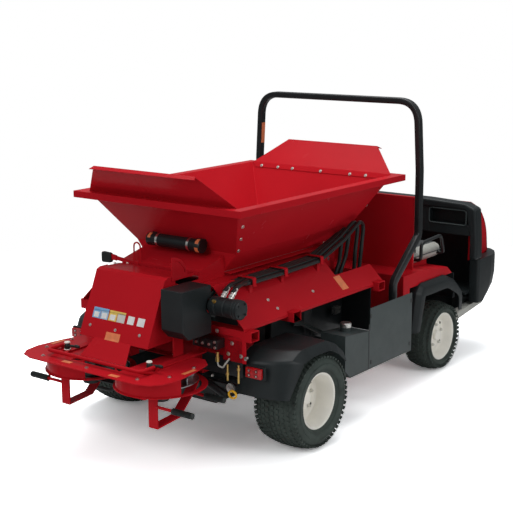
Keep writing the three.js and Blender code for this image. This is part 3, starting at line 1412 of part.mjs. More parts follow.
// A pad with drawn-in sides and a crowned top, standing on its lower face
function padBody(halfX, y0, y1, height) {
  const s = seat;
  const rings = [];
  for (let i = 0; i <= s.rings; i += 1) {
    const share = i / s.rings;
    const swell = Math.sqrt(Math.max(0, 1 - (2 * share - 1) ** 4));
    const inset = s.drawIn * (1 - swell);
    rings.push(roundedRing(halfX - inset, y0 + inset, y1 - inset, height * share, s.corner - inset));
  }
  const crown = s.drawIn + s.crown;
  rings.push(roundedRing(halfX - crown * 2, y0 + crown * 2, y1 - crown * 2, height + s.crown,
    s.corner - crown));
  return loft(rings);
}

function addSeats() {
  const s = seat;
  const depth = s.front - s.rear;
  const cushion = padBody(s.halfWidth, 0, depth, s.cushionHeight);
  const backHeight = s.backTop - s.base - s.cushionHeight / 2;
  const upright = new THREE.Matrix4().makeRotationX(Math.PI / 2 + s.backLean / backHeight);
  const back = placed(padBody(s.halfWidth - s.drawIn / 2, 0, backHeight, s.backThick), upright);
  const raised = shifted(back, 0, s.backThick + s.backLean, s.cushionHeight / 2);
  const r = seatRail;
  const start = s.halfWidth - s.drawIn;
  const side = s.halfWidth + r.offset;
  const rail = bentTube([
    [start, r.rear, r.foot], [side, r.rear, r.foot], [side, r.rear, r.rearTop], [side, r.front - r.bend,
    r.frontTop],
    [side, r.front, r.foot], [start, r.front, r.foot],
  ], r.radius, r.bend, hose.bendSteps, hose.sides);
  const body = join(cushion, raised, rail);
  for (const [name, sign, shape] of [['left_seat', -1, mirrored(body)], ['right_seat', 1, body]]) {
    const mesh = addPiece(name, shape, vinylGrey);
    mesh.position.set(sign * s.centreX, s.rear, s.base);
  }
}

addWheels();
addRails();
addPowertrain();
addFrontAxle();
addKnuckles();
addHopper();
addFlaps();
addConveyorFrame();
addConveyorBelt();
addRollers();
addCrossTubes();
addSideCovers();
addConveyorMotor();
addChainGuard();
addHoses();
addGateBracket();
addFeedGate();
addGateLever();
addRearHood();
addDocumentTube();
addSpinnerDeck();
addDiscs();
addSpinnerDrive();
addLegFrames();
addGrips();
addClampLevers();
addHoop();
addRearFenders();
addFrontFenders();
addSidePanels();
addCabBody();
addDashCowl();
addNoseHood();
addSteeringWheel();
addSeats();

// Stand the machine on the ground with its origin under the middle of its box
const extent = new THREE.Box3().setFromObject(machine);
const middle = extent.getCenter(new THREE.Vector3());
machine.position.set(-middle.x, -middle.y, -extent.min.z);

export default machine;
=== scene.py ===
"""Lawn topdresser on a two-seat carrier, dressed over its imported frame.

Lengths are metres. Parts are drawn from the middle of the rear axle's line on the ground,
X to the machine's right and Y forward. made() moves them into the frame, and place() one point.
"""

import json
import math

import bmesh
import bpy
from bpy.props import FloatProperty, FloatVectorProperty, IntProperty, PointerProperty
from mathutils import Matrix, Vector
from mathutils.bvhtree import BVHTree

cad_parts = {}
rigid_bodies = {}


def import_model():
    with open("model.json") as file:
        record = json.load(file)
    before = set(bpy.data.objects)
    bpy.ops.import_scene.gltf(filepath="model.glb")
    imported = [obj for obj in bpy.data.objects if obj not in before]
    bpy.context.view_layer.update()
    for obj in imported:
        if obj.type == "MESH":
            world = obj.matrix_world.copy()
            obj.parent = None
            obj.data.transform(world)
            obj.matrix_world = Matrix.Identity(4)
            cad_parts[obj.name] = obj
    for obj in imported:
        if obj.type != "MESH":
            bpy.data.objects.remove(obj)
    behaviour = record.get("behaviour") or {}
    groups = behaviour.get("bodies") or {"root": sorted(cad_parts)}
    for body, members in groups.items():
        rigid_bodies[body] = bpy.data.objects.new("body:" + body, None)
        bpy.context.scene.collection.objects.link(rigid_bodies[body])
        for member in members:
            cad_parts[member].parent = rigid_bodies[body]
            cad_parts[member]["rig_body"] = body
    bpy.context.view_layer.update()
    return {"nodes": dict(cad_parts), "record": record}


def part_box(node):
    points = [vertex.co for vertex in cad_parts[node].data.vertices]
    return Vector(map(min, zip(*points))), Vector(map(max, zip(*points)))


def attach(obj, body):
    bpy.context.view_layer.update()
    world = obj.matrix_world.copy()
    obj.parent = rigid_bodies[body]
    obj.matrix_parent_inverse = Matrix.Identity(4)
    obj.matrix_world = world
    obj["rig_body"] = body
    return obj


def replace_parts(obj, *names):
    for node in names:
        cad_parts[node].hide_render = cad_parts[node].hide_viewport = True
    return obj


bl_info = {
    "name": "Lawn Topdresser",
    "version": (1, 0, 0),
    "blender": (4, 5, 0),
    "location": "View3D > Sidebar > Topdresser",
    "description": "Dresses a lawn topdresser and its carrier over a packed frame",
    "category": "Object",
}

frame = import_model()
TYRE_LOW, TYRE_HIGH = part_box("right_rear_tyre")
AXLE_Y = (TYRE_LOW.y + TYRE_HIGH.y) / 2
SLOT_OF = {s["node"]: s["material_slot"] for s in frame["record"]["subparts"]}
ORIGIN = (0, 0, 0)
UP = (0, 0, 1)
BACK = (0, -1, 0)
SIDES = (("left", -1), ("right", 1))
MERGE = 1e-6
SMOOTH_BELOW = math.radians(32)


# Sizes and colours that a user would change

class TopdresserPaint(bpy.types.PropertyGroup):
    """Colours of the finishes"""

    red: FloatVectorProperty(
        name="Paint", description="Gloss paint of hopper, covers and deck", subtype="COLOR",
        size=4, min=0, max=1, default=(0.47, 0.010, 0.017, 1))
    charcoal: FloatVectorProperty(
        name="Moulded plastic", description="Fenders, dash and bumper", subtype="COLOR",
        size=4, min=0, max=1, default=(0.011, 0.015, 0.016, 1))
    panel: FloatVectorProperty(
        name="Side panel", description="Panels and tanks under the hopper", subtype="COLOR",
        size=4, min=0, max=1, default=(0.034, 0.048, 0.048, 1))
    rubber: FloatVectorProperty(
        name="Rubber", description="Belt, hoses and grips", subtype="COLOR",
        size=4, min=0, max=1, default=(0.016, 0.021, 0.020, 1))
    tyre: FloatVectorProperty(
        name="Tyre rubber", description="Treads and sidewalls", subtype="COLOR",
        size=4, min=0, max=1, default=(0.050, 0.066, 0.058, 1))
    cream: FloatVectorProperty(
        name="Rim enamel", description="Wheel rims", subtype="COLOR",
        size=4, min=0, max=1, default=(0.90, 0.87, 0.79, 1))
    patch: FloatVectorProperty(
        name="Patch", description="Plain orange patches", subtype="COLOR",
        size=4, min=0, max=1, default=(0.80, 0.22, 0.085, 1))


class TopdresserSizes(bpy.types.PropertyGroup):
    """Sizes of what is added over the frame"""

    hose_radius: FloatProperty(
        name="Hose radius", description="Radius of a hydraulic hose", unit="LENGTH",
        default=0.013, min=0.004, max=0.03)
    lugs_around: IntProperty(
        name="Lugs around", description="Tread lugs round a tyre in each row",
        default=54, min=12, max=90)
    lug_rows: IntProperty(
        name="Lug rows", description="Rows of lugs across a tyre", default=9, min=3, max=15)
    lug_height: FloatProperty(
        name="Lug height", description="Height of a tread lug", unit="LENGTH",
        default=0.007, min=0.002, max=0.02)


def sizes():
    return bpy.context.scene.topdresser_sizes


def paint():
    return bpy.context.scene.topdresser_paint


def place(x, y, z):
    """A place measured from the rear axle's line, in the frame."""
    return Vector((x, y + AXLE_Y, z))


def box_of(node):
    """A node's box, measured from the rear axle's line."""
    low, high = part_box(node)
    return low - place(*ORIGIN), high - place(*ORIGIN)


def body_of(node):
    return frame["nodes"][node]["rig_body"]


# Finishes, each with its own grain, mottling and wear

class Nodes:
    """A short hand for building one node tree"""

    def __init__(self, tree):
        self.tree = tree

    def add(self, kind, inputs={}, **settings):
        node = self.tree.nodes.new(kind)
        for key, value in settings.items():
            setattr(node, key, value)
        for key, value in inputs.items():
            if isinstance(value, bpy.types.NodeSocket):
                self.link(value, node.inputs[key])
            else:
                node.inputs[key].default_value = value
        return node

    def out(self, kind, label, inputs={}, **settings):
        """A new node's output of that label."""
        return self.add(kind, inputs, **settings).outputs[label]

    def math(self, operation, *values):
        return self.out("ShaderNodeMath", "Value", dict(enumerate(values)), operation=operation)

    def vector(self, **parts):
        return self.out("ShaderNodeCombineXYZ", "Vector", parts)

    def link(self, out, into):
        self.tree.links.new(out, into)


def fresh_nodes(owner):
    """An empty node tree on a material or world."""
    owner.use_nodes = True
    owner.node_tree.nodes.clear()
    return Nodes(owner.node_tree)


DUST_COLOUR = (0.30, 0.27, 0.23, 1)
DUST_HEIGHT = 0.75
COAT_ROUGHNESS = 0.08


def finish(name, colour, roughness, metallic=0.0, coat=0.0, shade=0.7, mottle=6.0,
           grain=(300.0, 0.1, 0.0004), spread=0.12, dust=0.0, specular=0.5, sheen=0.0):
    """A surface whose colour drifts over a broad noise, with fine grain and patchy gloss."""
    known = bpy.data.materials.get(name)
    if known:
        return known
    material = bpy.data.materials.new(name)
    n = fresh_nodes(material)
    base = list(colour[:3]) + [1]
    where = n.out("ShaderNodeTexCoord", "Object")
    broad = n.out("ShaderNodeTexNoise", "Fac", {
        "Vector": where, "Scale": mottle, "Detail": 4.0, "Roughness": 0.55})
    ease = n.out("ShaderNodeMapRange", "Result", {"Value": broad, "From Min": 0.35, "From Max": 0.62})
    tint = n.out("ShaderNodeMix", "Result", {
        "Factor": ease, "A": [c * shade for c in colour[:3]] + [1], "B": base}, data_type="RGBA")
    if dust:
        height = n.out("ShaderNodeSeparateXYZ", "Z", {"Vector": where})
        low = n.out("ShaderNodeMapRange", "Result", {
            "Value": height, "From Min": 0.0, "From Max": DUST_HEIGHT, "To Min": dust, "To Max": 0.0})
        speck = n.out("ShaderNodeTexNoise", "Fac", {
            "Vector": where, "Scale": 38.0, "Detail": 5.0, "Roughness": 0.7})
        tint = n.out("ShaderNodeMix", "Result", {
            "Factor": n.math("MULTIPLY", low, speck), "A": tint, "B": DUST_COLOUR}, data_type="RGBA")
    patchy = n.out("ShaderNodeTexNoise", "Fac", {"Vector": where, "Scale": mottle * 3.5, "Detail": 3.0})
    gloss = n.out("ShaderNodeMapRange", "Result", {
        "Value": patchy, "To Min": max(roughness - spread, 0.04), "To Max": min(roughness + spread, 1)})
    fine = n.out("ShaderNodeTexNoise", "Fac", {"Vector": where, "Scale": grain[0], "Detail": 2.0})
    bump = n.out("ShaderNodeBump", "Normal", {
        "Height": fine, "Strength": grain[1], "Distance": grain[2]})
    shader = n.out("ShaderNodeBsdfPrincipled", "BSDF", {
        "Base Color": tint, "Roughness": gloss, "Normal": bump, "Metallic": metallic, "Coat Weight": coat,
        "Coat Roughness": COAT_ROUGHNESS, "Specular IOR Level": specular, "Sheen Weight": sheen})
    n.add("ShaderNodeOutputMaterial", {"Surface": shader})
    material.diffuse_color = base
    return material


VINYL = dict(mottle=11.0, grain=(240.0, 0.5, 0.0012), spread=0.08, sheen=0.1)
LENS = dict(coat=0.2, shade=0.5, mottle=60.0, grain=(160.0, 0.5, 0.0012), spread=0.04)
PLAIN = dict(shade=0.9, mottle=40.0, grain=(300.0, 0.05, 0.0002), spread=0.05)
FINISHES = {
    "gloss_red_paint": ("red", 0.26, dict(
        coat=0.006, shade=0.92, mottle=1.6, grain=(900.0, 0.05, 0.0002), spread=0.04, specular=0.04)),
    "grained_charcoal_plastic": ("charcoal", 0.42, dict(
        shade=0.75, mottle=5.0, grain=(900.0, 0.25, 0.0005), spread=0.07, dust=0.02, specular=0.27)),
    "grained_grey_plastic": ("panel", 0.5, dict(
        shade=0.8, mottle=4.0, grain=(700.0, 0.3, 0.0006), spread=0.08, dust=0.06)),
    "moulded_tyre_rubber": ("tyre", 0.68, dict(
        mottle=14.0, grain=(420.0, 0.4, 0.0008), spread=0.1, dust=0.06, specular=0.20)),
    "soft_black_rubber": ("rubber", 0.36, dict(
        mottle=20.0, grain=(600.0, 0.30, 0.0004), spread=0.10, specular=0.30)),
    "cream_rim_enamel": ("cream", 0.38, dict(
        coat=0.2, shade=0.93, mottle=9.0, grain=(350.0, 0.12, 0.0004), spread=0.08, dust=0.12)),
    "satin_black_enamel": ((0.009, 0.011, 0.012), 0.34, dict(
        coat=0.08, shade=0.75, mottle=7.0, grain=(480.0, 0.18, 0.0004), spread=0.08, specular=0.35)),
    "zinc_plate": ((0.72, 0.71, 0.67), 0.3, dict(
        metallic=1.0, shade=0.8, mottle=60.0, grain=(900.0, 0.15, 0.0003))),
    "worn_steel": ((0.46, 0.47, 0.48), 0.36, dict(
        metallic=1.0, shade=0.72, mottle=24.0, grain=(700.0, 0.2, 0.0004), spread=0.14)),
    "yellow_brass": ((0.62, 0.42, 0.14), 0.3, dict(
        metallic=1.0, shade=0.75, mottle=30.0, grain=(700.0, 0.15, 0.0003), spread=0.1)),
    "dark_casting": ((0.02, 0.023, 0.025), 0.55, dict(
        metallic=0.3, shade=0.6, mottle=12.0, grain=(260.0, 0.5, 0.0010), dust=0.15)),
    "grained_seat_vinyl": ((0.035, 0.04, 0.043), 0.5, dict(VINYL, shade=0.8)),
    "pale_vinyl": ((0.42, 0.42, 0.38), 0.5, dict(VINYL, shade=0.85, mottle=12.0)),
    "orange_patch": ("patch", 0.35, dict(PLAIN, shade=0.82, mottle=30.0)),
    "lamp_red": ((0.52, 0.002, 0.006), 0.16, LENS),
    "lamp_dark": ((0.16, 0.001, 0.004), 0.2, LENS),
    "yellow_plastic": ((0.80, 0.42, 0.01), 0.4, dict(shade=0.85, mottle=30.0, spread=0.08)),
    "blue": ((0.20, 0.42, 0.68), 0.38, PLAIN),
    "pale_blue": ((0.36, 0.54, 0.70), 0.38, PLAIN),
    "yellow": ((0.80, 0.56, 0.12), 0.38, PLAIN),
    "pale": ((0.62, 0.60, 0.55), 0.38, PLAIN),
    "white": ((0.78, 0.78, 0.76), 0.38, PLAIN),
    "black": ((0.012, 0.014, 0.015), 0.38, PLAIN),
}
RED, CHARCOAL, PANEL = "gloss_red_paint", "grained_charcoal_plastic", "grained_grey_plastic"
RUBBER, TYRE, CREAM = "soft_black_rubber", "moulded_tyre_rubber", "cream_rim_enamel"
ENAMEL, ZINC, STEEL, BRASS = "satin_black_enamel", "zinc_plate", "worn_steel", "yellow_brass"
CASTING, VINYL_DARK, VINYL_PALE_AND_SEAT_HIGHLIGHT, ORANGE = "dark_casting", "grained_seat_vinyl", "pale_vinyl", "orange_patch"


def coat(name):
    """The finish of that name; its colour may be one of the user's."""
    colour, roughness, settings = FINISHES[name]
    if isinstance(colour, str):
        colour = getattr(paint(), colour)
    return finish(name, colour, roughness, **settings)


# Meshes

def shaded(mesh, sharp):
    mesh.shade_smooth()
    mesh.set_sharp_from_angle(angle=sharp)
    return mesh


def joined(name, parts, sharp=SMOOTH_BELOW):
    """Several (verts, faces) lists as one mesh, its faces pointing out and its sharp edges kept."""
    bm = bmesh.new()
    for verts, faces in parts:
        made_verts = [bm.verts.new(v) for v in verts]
        for face in faces:
            bm.faces.new([made_verts[i] for i in face])
    bmesh.ops.remove_doubles(bm, verts=bm.verts, dist=MERGE)
    bmesh.ops.recalc_face_normals(bm, faces=bm.faces)
    mesh = bpy.data.meshes.new(name)
    bm.to_mesh(mesh)
    bm.free()
    return shaded(mesh, sharp)


def angles(count):
    return [2 * math.pi * k / count for k in range(count)]


def loop(points):
    return points + [points[0]]


def turned(profile, axis="X", segments=64, centre=ORIGIN, facing=1, ring=False):
    """A profile of (radius, reach) turned about an axis through centre, or a closed ring of it."""
    verts, faces, rings = [], [], []
    for radius, reach in profile:
        start, r = len(verts), reach * facing
        for a in angles(segments)[:1 if radius < 1e-7 else segments]:
            u, v = radius * math.cos(a), radius * math.sin(a)
            point = {"X": (r, u, v), "Y": (u, r, v), "Z": (u, v, r)}[axis]
            verts.append(Vector(point) + Vector(centre))
        rings.append(list(range(start, len(verts))))
    for a, b in zip(rings, rings[1:] + (rings[:1] if ring else [])):
        for k in range(segments):
            m = (k + 1) % segments
            if len(a) == 1 and len(b) > 1:
                faces.append([a[0], b[k], b[m]])
            elif len(b) == 1 and len(a) > 1:
                faces.append([a[k], b[0], a[m]])
            elif len(a) > 1 and len(b) > 1:
                faces.append([a[k], b[k], b[m], a[m]])
    return verts, faces


def corner_bend(before, corner, after, radius, steps, share):
    """Points round one corner, which take no more than a share of either leg."""
    back, ahead = before - corner, after - corner
    reach = radius / max(math.tan(back.angle(ahead) / 2), 1e-3)
    reach = min(reach, back.length * share, ahead.length * share)
    start, end = corner + back.normalized() * reach, corner + ahead.normalized() * reach
    parts = [k / steps for k in range(steps + 1)]
    return [start * (1 - t) ** 2 + corner * 2 * t * (1 - t) + end * t ** 2 for t in parts]


def rounded_path(points, radius, steps=8):
    """A line through points with its corners rounded, by one radius or by one for each corner."""
    points = [Vector(p) for p in points]
    path = [points[0]]
    for i, legs in enumerate(zip(points, points[1:], points[2:])):
        path += corner_bend(*legs, radius[i] if isinstance(radius, list) else radius, steps, 0.48)
    return path + [points[-1]]


def rounded_outline(points, radius, steps=6):
    """A closed flat outline with rounded corners."""
    points = [Vector(p) for p in points]
    out = []
    for before, corner, after in zip(points[-1:] + points, points, points[1:] + points[:1]):
        out += [tuple(p) for p in corner_bend(before, corner, after, radius, steps, 0.49)]
    return out


def rectangle(low, high):
    """The outline of a rectangle between two flat corners."""
    return [(low[0], low[1]), (high[0], low[1]), (high[0], high[1]), (low[0], high[1])]


def box_section(wide, deep, radius, steps=4):
    """A ring of (side, up) points for a rectangular bar with round corners."""
    return rounded_outline(rectangle((-wide / 2, -deep / 2), (wide / 2, deep / 2)), radius, steps)


def rows_joined(rows, closed_rows):
    """Faces between rows of one length, each row closed or the turn of rows closed, with both ends."""
    count, steps = len(rows), len(rows[0])
    turns, ways = (count - 1, steps) if closed_rows else (count, steps - 1)
    faces = []
    for i in range(turns):
        for k in range(ways):
            m, j = (k + 1) % steps, (i + 1) % count
            faces.append([i * steps + k, i * steps + m, j * steps + m, j * steps + k])
    if closed_rows:
        faces += [list(range(steps)), [(count - 1) * steps + k for k in range(steps)]]
    else:
        faces += [[i * steps for i in range(count)], [i * steps + steps - 1 for i in range(count)]]
    return [point for row in rows for point in row], faces


def carried(path, section, side=None):
    """A section carried along a path, closed at both ends."""
    path = [Vector(p) for p in path]
    rows = []
    heading = (path[1] - path[0]).normalized()
    side = Vector(side) if side else heading.orthogonal().normalized()
    for i, point in enumerate(path):
        new = (path[min(i + 1, len(path) - 1)] - path[max(i - 1, 0)]).normalized()
        side = heading.rotation_difference(new) @ side
        heading = new
        up = heading.cross(side).normalized()
        rows.append([point + side * u + up * v for u, v in section])
    return rows_joined(rows, True)


def swept(path, radius, sides=20, flat=1.0):
    """A round or flattened bar along a path."""
    return carried(path, [(radius * math.cos(a), radius * flat * math.sin(a)) for a in angles(sides)])


def slab(outline, low, high, axis="Z"):
    """A flat outline given a thickness along an axis."""
    def at(u, v, w):
        return {"X": (w, u, v), "Y": (u, w, v), "Z": (u, v, w)}[axis]
    verts, faces = rows_joined([[Vector(at(u, v, w)) for u, v in outline] for w in (low, high)], True)
    return verts, faces[-2:] + faces[:-2]


def brick(low, high):
    """A box between two corners."""
    return slab(rectangle(low, high), low[2], high[2])


def on_side(sign, low, high):
    """A box drawn for the right side, or its mirror on the left."""
    x0, x1 = sorted((sign * low[0], sign * high[0]))
    return brick((x0, low[1], low[2]), (x1, high[1], high[2]))


def pair(low, high):
    """A box and its mirror on the other side."""
    return [on_side(sign, low, high) for _, sign in SIDES]


def moved(part, matrix):
    verts, faces = part
    return [matrix @ Vector(v) for v in verts], faces


def soften(obj, width, segments=2, angle=32):
    """Rounds the sharp edges of a piece."""
    rounding = obj.modifiers.new("rounded_edges", "BEVEL")
    rounding.width = width
    rounding.segments = segments
    rounding.limit_method = "ANGLE"
    rounding.angle_limit = math.radians(angle)
    rounding.harden_normals = True
    rounding.miter_outer = "MITER_ARC"


def linked(name, mesh):
    obj = bpy.data.objects.new(name, mesh)
    bpy.context.scene.collection.objects.link(obj)
    return obj


def piece(name, mesh, body, material, slot=None, swaps=(), edge=None):
    """A finished piece that rides on a body and may stand for frame nodes."""
    obj = linked(name, mesh)
    mesh.materials.clear()
    mesh.materials.append(coat(material))
    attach(obj, body)
    if swaps:
        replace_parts(obj, *swaps)
    slot or SLOT_OF[swaps[0]]
    if edge:
        soften(obj, *edge)
    return obj


def made(name, parts, material, slot=None, body="chassis", swaps=(), edge=None, sharp=SMOOTH_BELOW):
    """Parts drawn from the axle's line, joined as one finished piece in the frame."""
    into_frame = Matrix.Translation(place(*ORIGIN))
    mesh = joined(name, [moved(part, into_frame) for part in parts], sharp)
    return piece(name, mesh, body, material, slot, swaps, edge)


def dressed(node, material, width, segments=2, angle=32):
    """A node's shape with merged faces, rounded edges and its finish, standing for the node."""
    source = frame["nodes"][node]
    bm = bmesh.new()
    bm.from_mesh(source.data)
    bmesh.ops.remove_doubles(bm, verts=bm.verts, dist=2 * MERGE)
    bmesh.ops.dissolve_limit(bm, angle_limit=math.radians(0.6), verts=bm.verts, edges=bm.edges)
    bmesh.ops.dissolve_degenerate(bm, dist=1e-5, edges=bm.edges)
    mesh = bpy.data.meshes.new(node + "_dressed")
    bm.to_mesh(mesh)
    bm.free()
    shaded(mesh, math.radians(min(angle, 46)))
    piece(node + "_dressed", mesh, body_of(node), material, swaps=(node,), edge=(width, segments, angle))


# Geometry node trees for what repeats or follows a path

def tree_of(name, inputs, fill):
    """The tree of that name, which fill() builds between its inputs and its realized, coated output."""
    known = bpy.data.node_groups.get(name)
    if known:
        return known
    tree = bpy.data.node_groups.new(name, "GeometryNodeTree")
    sockets = [("Geometry", "Geometry", None)] + inputs + [("Finish", "Material", None)]
    for label, kind, default in sockets:
        socket = tree.interface.new_socket(label, in_out="INPUT", socket_type="NodeSocket" + kind)
        if default is not None:
            socket.default_value = default
    tree.interface.new_socket("Geometry", in_out="OUTPUT", socket_type="NodeSocketGeometry")
    n = Nodes(tree)
    given = n.add("NodeGroupInput").outputs
    real = n.out("GeometryNodeRealizeInstances", "Geometry", {"Geometry": fill(n, given)})
    coated = n.out("GeometryNodeSetMaterial", "Geometry", {"Geometry": real, "Material": given["Finish"]})
    n.add("NodeGroupOutput", {"Geometry": coated})
    return tree


def fastener_tree():
    """Bolt heads on washers, one at each point, standing along the point's facing."""
    def fill(n, given):
        def disc(sides, radius, height, level):
            body = n.out("GeometryNodeMeshCylinder", "Mesh", {
                "Vertices": sides, "Radius": radius, "Depth": height})
            return n.out("GeometryNodeTransform", "Geometry", {
                "Geometry": body, "Translation": n.vector(Z=level)})
        head, washer = given["Head Height"], given["Washer Height"]
        lift = n.math("ADD", n.math("MULTIPLY", head, 0.5), washer)
        both = n.add("GeometryNodeJoinGeometry")
        n.link(disc(given["Head Sides"], given["Head Radius"], head, lift), both.inputs["Geometry"])
        n.link(disc(16, given["Washer Radius"], washer, n.math("MULTIPLY", washer, 0.5)),
               both.inputs["Geometry"])
        facing = n.out("GeometryNodeInputNamedAttribute", "Attribute", {"Name": "facing"},
                       data_type="FLOAT_VECTOR")
        turn = n.out("FunctionNodeAlignRotationToVector", "Rotation", {"Vector": facing}, axis="Z")
        return n.out("GeometryNodeInstanceOnPoints", "Instances", {
            "Points": given["Geometry"], "Instance": both.outputs["Geometry"], "Rotation": turn})
    return tree_of("fasteners_on_points", [
        ("Head Radius", "Float", 0.007), ("Head Height", "Float", 0.005), ("Washer Radius", "Float", 0.010),
        ("Washer Height", "Float", 0.0015), ("Head Sides", "Int", 6)], fill)


def tread_tree():
    """Rows of lugs wrapped round a tyre whose axle is the X axis."""
    def fill(n, given):
        rows = given["Rows"]
        grid = n.out("GeometryNodeMeshGrid", "Mesh", {
            "Size X": 1.0, "Size Y": 1.0, "Vertices X": given["Around"], "Vertices Y": rows})
        index = n.out("GeometryNodeInputIndex", "Index")
        row = n.math("MODULO", index, rows)
        station = n.math("FLOOR", n.math("DIVIDE", index, rows))
        shift = n.math("MULTIPLY", n.math("MODULO", row, 2.0), 0.5)
        per = n.math("DIVIDE", 2 * math.pi, given["Around"])
        angle = n.math("MULTIPLY", n.math("ADD", station, shift), per)
        across = n.math("DIVIDE", row, n.math("SUBTRACT", rows, 1.0))
        signed = n.out("ShaderNodeMapRange", "Result", {"Value": across, "To Min": -1.0, "To Max": 1.0})
        x = n.math("MULTIPLY", signed, given["Half Width"])
        drop = n.math("MULTIPLY", n.math("MULTIPLY", x, x), given["Crown"])
        radius = n.math("SUBTRACT", given["Radius"], drop)
        middle = n.math("SUBTRACT", radius, n.math("MULTIPLY", given["Lug Height"], 0.5))
        spot = n.vector(X=x, Y=n.math("MULTIPLY", n.math("SINE", angle), middle),
                        Z=n.math("MULTIPLY", n.math("COSINE", angle), middle))
        wrapped = n.out("GeometryNodeSetPosition", "Geometry", {"Geometry": grid, "Position": spot})
        lean = n.math("MULTIPLY", n.math("MULTIPLY", x, given["Crown"]), 2.0)
        lug = n.out("GeometryNodeMeshCube", "Mesh", {"Size": n.vector(
            X=given["Lug Across"], Y=given["Lug Along"], Z=given["Lug Height"])})
        spread = n.out("GeometryNodeInstanceOnPoints", "Instances", {"Points": wrapped, "Instance": lug})
        return n.out("GeometryNodeRotateInstances", "Instances", {
            "Instances": spread, "Rotation": n.vector(X=n.math("MULTIPLY", angle, -1.0), Y=lean)})
    return tree_of("tread_round_tyre", [
        ("Around", "Int", 54), ("Rows", "Int", 9), ("Radius", "Float", 0.28), ("Half Width", "Float", 0.13),
        ("Crown", "Float", 0.6), ("Lug Across", "Float", 0.018), ("Lug Along", "Float", 0.02),
        ("Lug Height", "Float", 0.007)], fill)


def hose_tree():
    """Round hoses along the edges of a mesh, bent at its corners."""
    def fill(n, given):
        line = n.out("GeometryNodeMeshToCurve", "Curve", {"Mesh": given["Geometry"]})
        bent = n.out("GeometryNodeFilletCurve", "Curve", {
            "Curve": line, "Radius": given["Bend"], "Count": 8, "Limit Radius": True}, mode="POLY")
        ring = n.out("GeometryNodeCurvePrimitiveCircle", "Curve", {
            "Resolution": given["Sides"], "Radius": given["Radius"]})
        tube = n.out("GeometryNodeCurveToMesh", "Mesh", {
            "Curve": bent, "Profile Curve": ring, "Fill Caps": True})
        return n.out("GeometryNodeSetShadeSmooth", "Geometry", {"Geometry": tube})
    return tree_of("hoses_on_lines", [
        ("Radius", "Float", 0.013), ("Bend", "Float", 0.08), ("Sides", "Int", 18)], fill)


def rib_tree():
    """A row of round ribs along X."""
    def fill(n, given):
        row = n.out("GeometryNodeMeshLine", "Mesh", {
            "Count": given["Count"], "Offset": n.vector(X=given["Step"])})
        rib = n.out("GeometryNodeMeshCylinder", "Mesh", {
            "Vertices": 28, "Radius": given["Radius"], "Depth": given["Width"]})
        return n.out("GeometryNodeInstanceOnPoints", "Instances", {
            "Points": row, "Instance": rib, "Rotation": (0, math.pi / 2, 0)})
    return tree_of("ribs_in_a_row", [
        ("Count", "Int", 20), ("Step", "Float", 0.006), ("Radius", "Float", 0.019),
        ("Width", "Float", 0.003)], fill)


def grown(name, tree, base, values, body, slot, centre=None, sharp=SMOOTH_BELOW):
    """The tree's result as a plain mesh on its body."""
    obj = linked(name, base)
    rule = obj.modifiers.new("rule", "NODES")
    rule.node_group = tree
    keys = {item.name: item.identifier for item in tree.interface.items_tree
            if item.item_type == "SOCKET" and item.in_out == "INPUT"}
    for label, value in values.items():
        rule[keys[label]] = value
    graph = bpy.context.evaluated_depsgraph_get()
    result = bpy.data.meshes.new_from_object(obj.evaluated_get(graph))
    obj.modifiers.clear()
    obj.data = result
    bpy.data.meshes.remove(base)
    result.name = name
    if "facing" in result.attributes:
        result.attributes.remove(result.attributes["facing"])
    if centre is not None:
        result.transform(Matrix.Translation(place(*centre)))
    shaded(result, sharp)
    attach(obj, body)
    return obj


def points_mesh(verts, edges=()):
    mesh = bpy.data.meshes.new("base")
    mesh.from_pydata(verts, edges, [])
    return mesh


def fasteners(name, points, body, material, slot, radius, height, washer=1.5, sides=6):
    """Bolts at (place, facing) pairs."""
    base = points_mesh([place(*spot) for spot, _ in points])
    facing = base.attributes.new("facing", "FLOAT_VECTOR", "POINT")
    for i, (_, direction) in enumerate(points):
        facing.data[i].vector = Vector(direction).normalized()
    return grown(name, fastener_tree(), base, {
        "Head Radius": radius, "Head Height": height, "Washer Radius": radius * washer,
        "Head Sides": sides, "Finish": coat(material)}, body, slot)


def hoses(name, lines, radius, bend, material, slot, sides=18):
    """Hoses of one size on the chassis, each along a line of places."""
    verts, edges = [], []
    for line in lines:
        edges += [(len(verts) + i, len(verts) + i + 1) for i in range(len(line) - 1)]
        verts += [place(*p) for p in line]
    return grown(name, hose_tree(), points_mesh(verts, edges), {
        "Radius": radius, "Bend": bend, "Sides": sides, "Finish": coat(material)}, "chassis", slot,
        sharp=math.radians(60))


def mirror_points(points):
    return points + [((-x, y, z), (-dx, dy, dz)) for (x, y, z), (dx, dy, dz) in points]


# Wheels

REAR_WHEEL = {
    "corner": "rear", "y": 0.0, "centre": 0.690, "half": 0.155, "tyre": 0.291, "bead": 0.171, "disc": 0.0}
FRONT_WHEEL = {
    "corner": "front", "y": 1.778, "centre": 0.565, "half": 0.100, "tyre": 0.242, "bead": 0.170, "disc": 0.012}


def tyre_profile(w):
    """Half section of a low turf tyre from one bead to the other, as (radius, reach)."""
    r, half, bead = w["tyre"] - sizes().lug_height, w["half"] - 0.004, w["bead"]
    side = [(bead + a, half * b) for a, b in (
        (-0.012, 0.76), (0.004, 0.86), (0.020, 0.95), ((r - bead) * 0.38, 1))]
    side += [(r - a, half * b) for a, b in (
        (0.056, 0.985), (0.038, 0.945), (0.025, 0.87), (0.0145, 0.74), (0.0065, 0.55), (0.0015, 0.28))]
    return side + [(r, 0)] + [(a, -b) for a, b in reversed(side)]


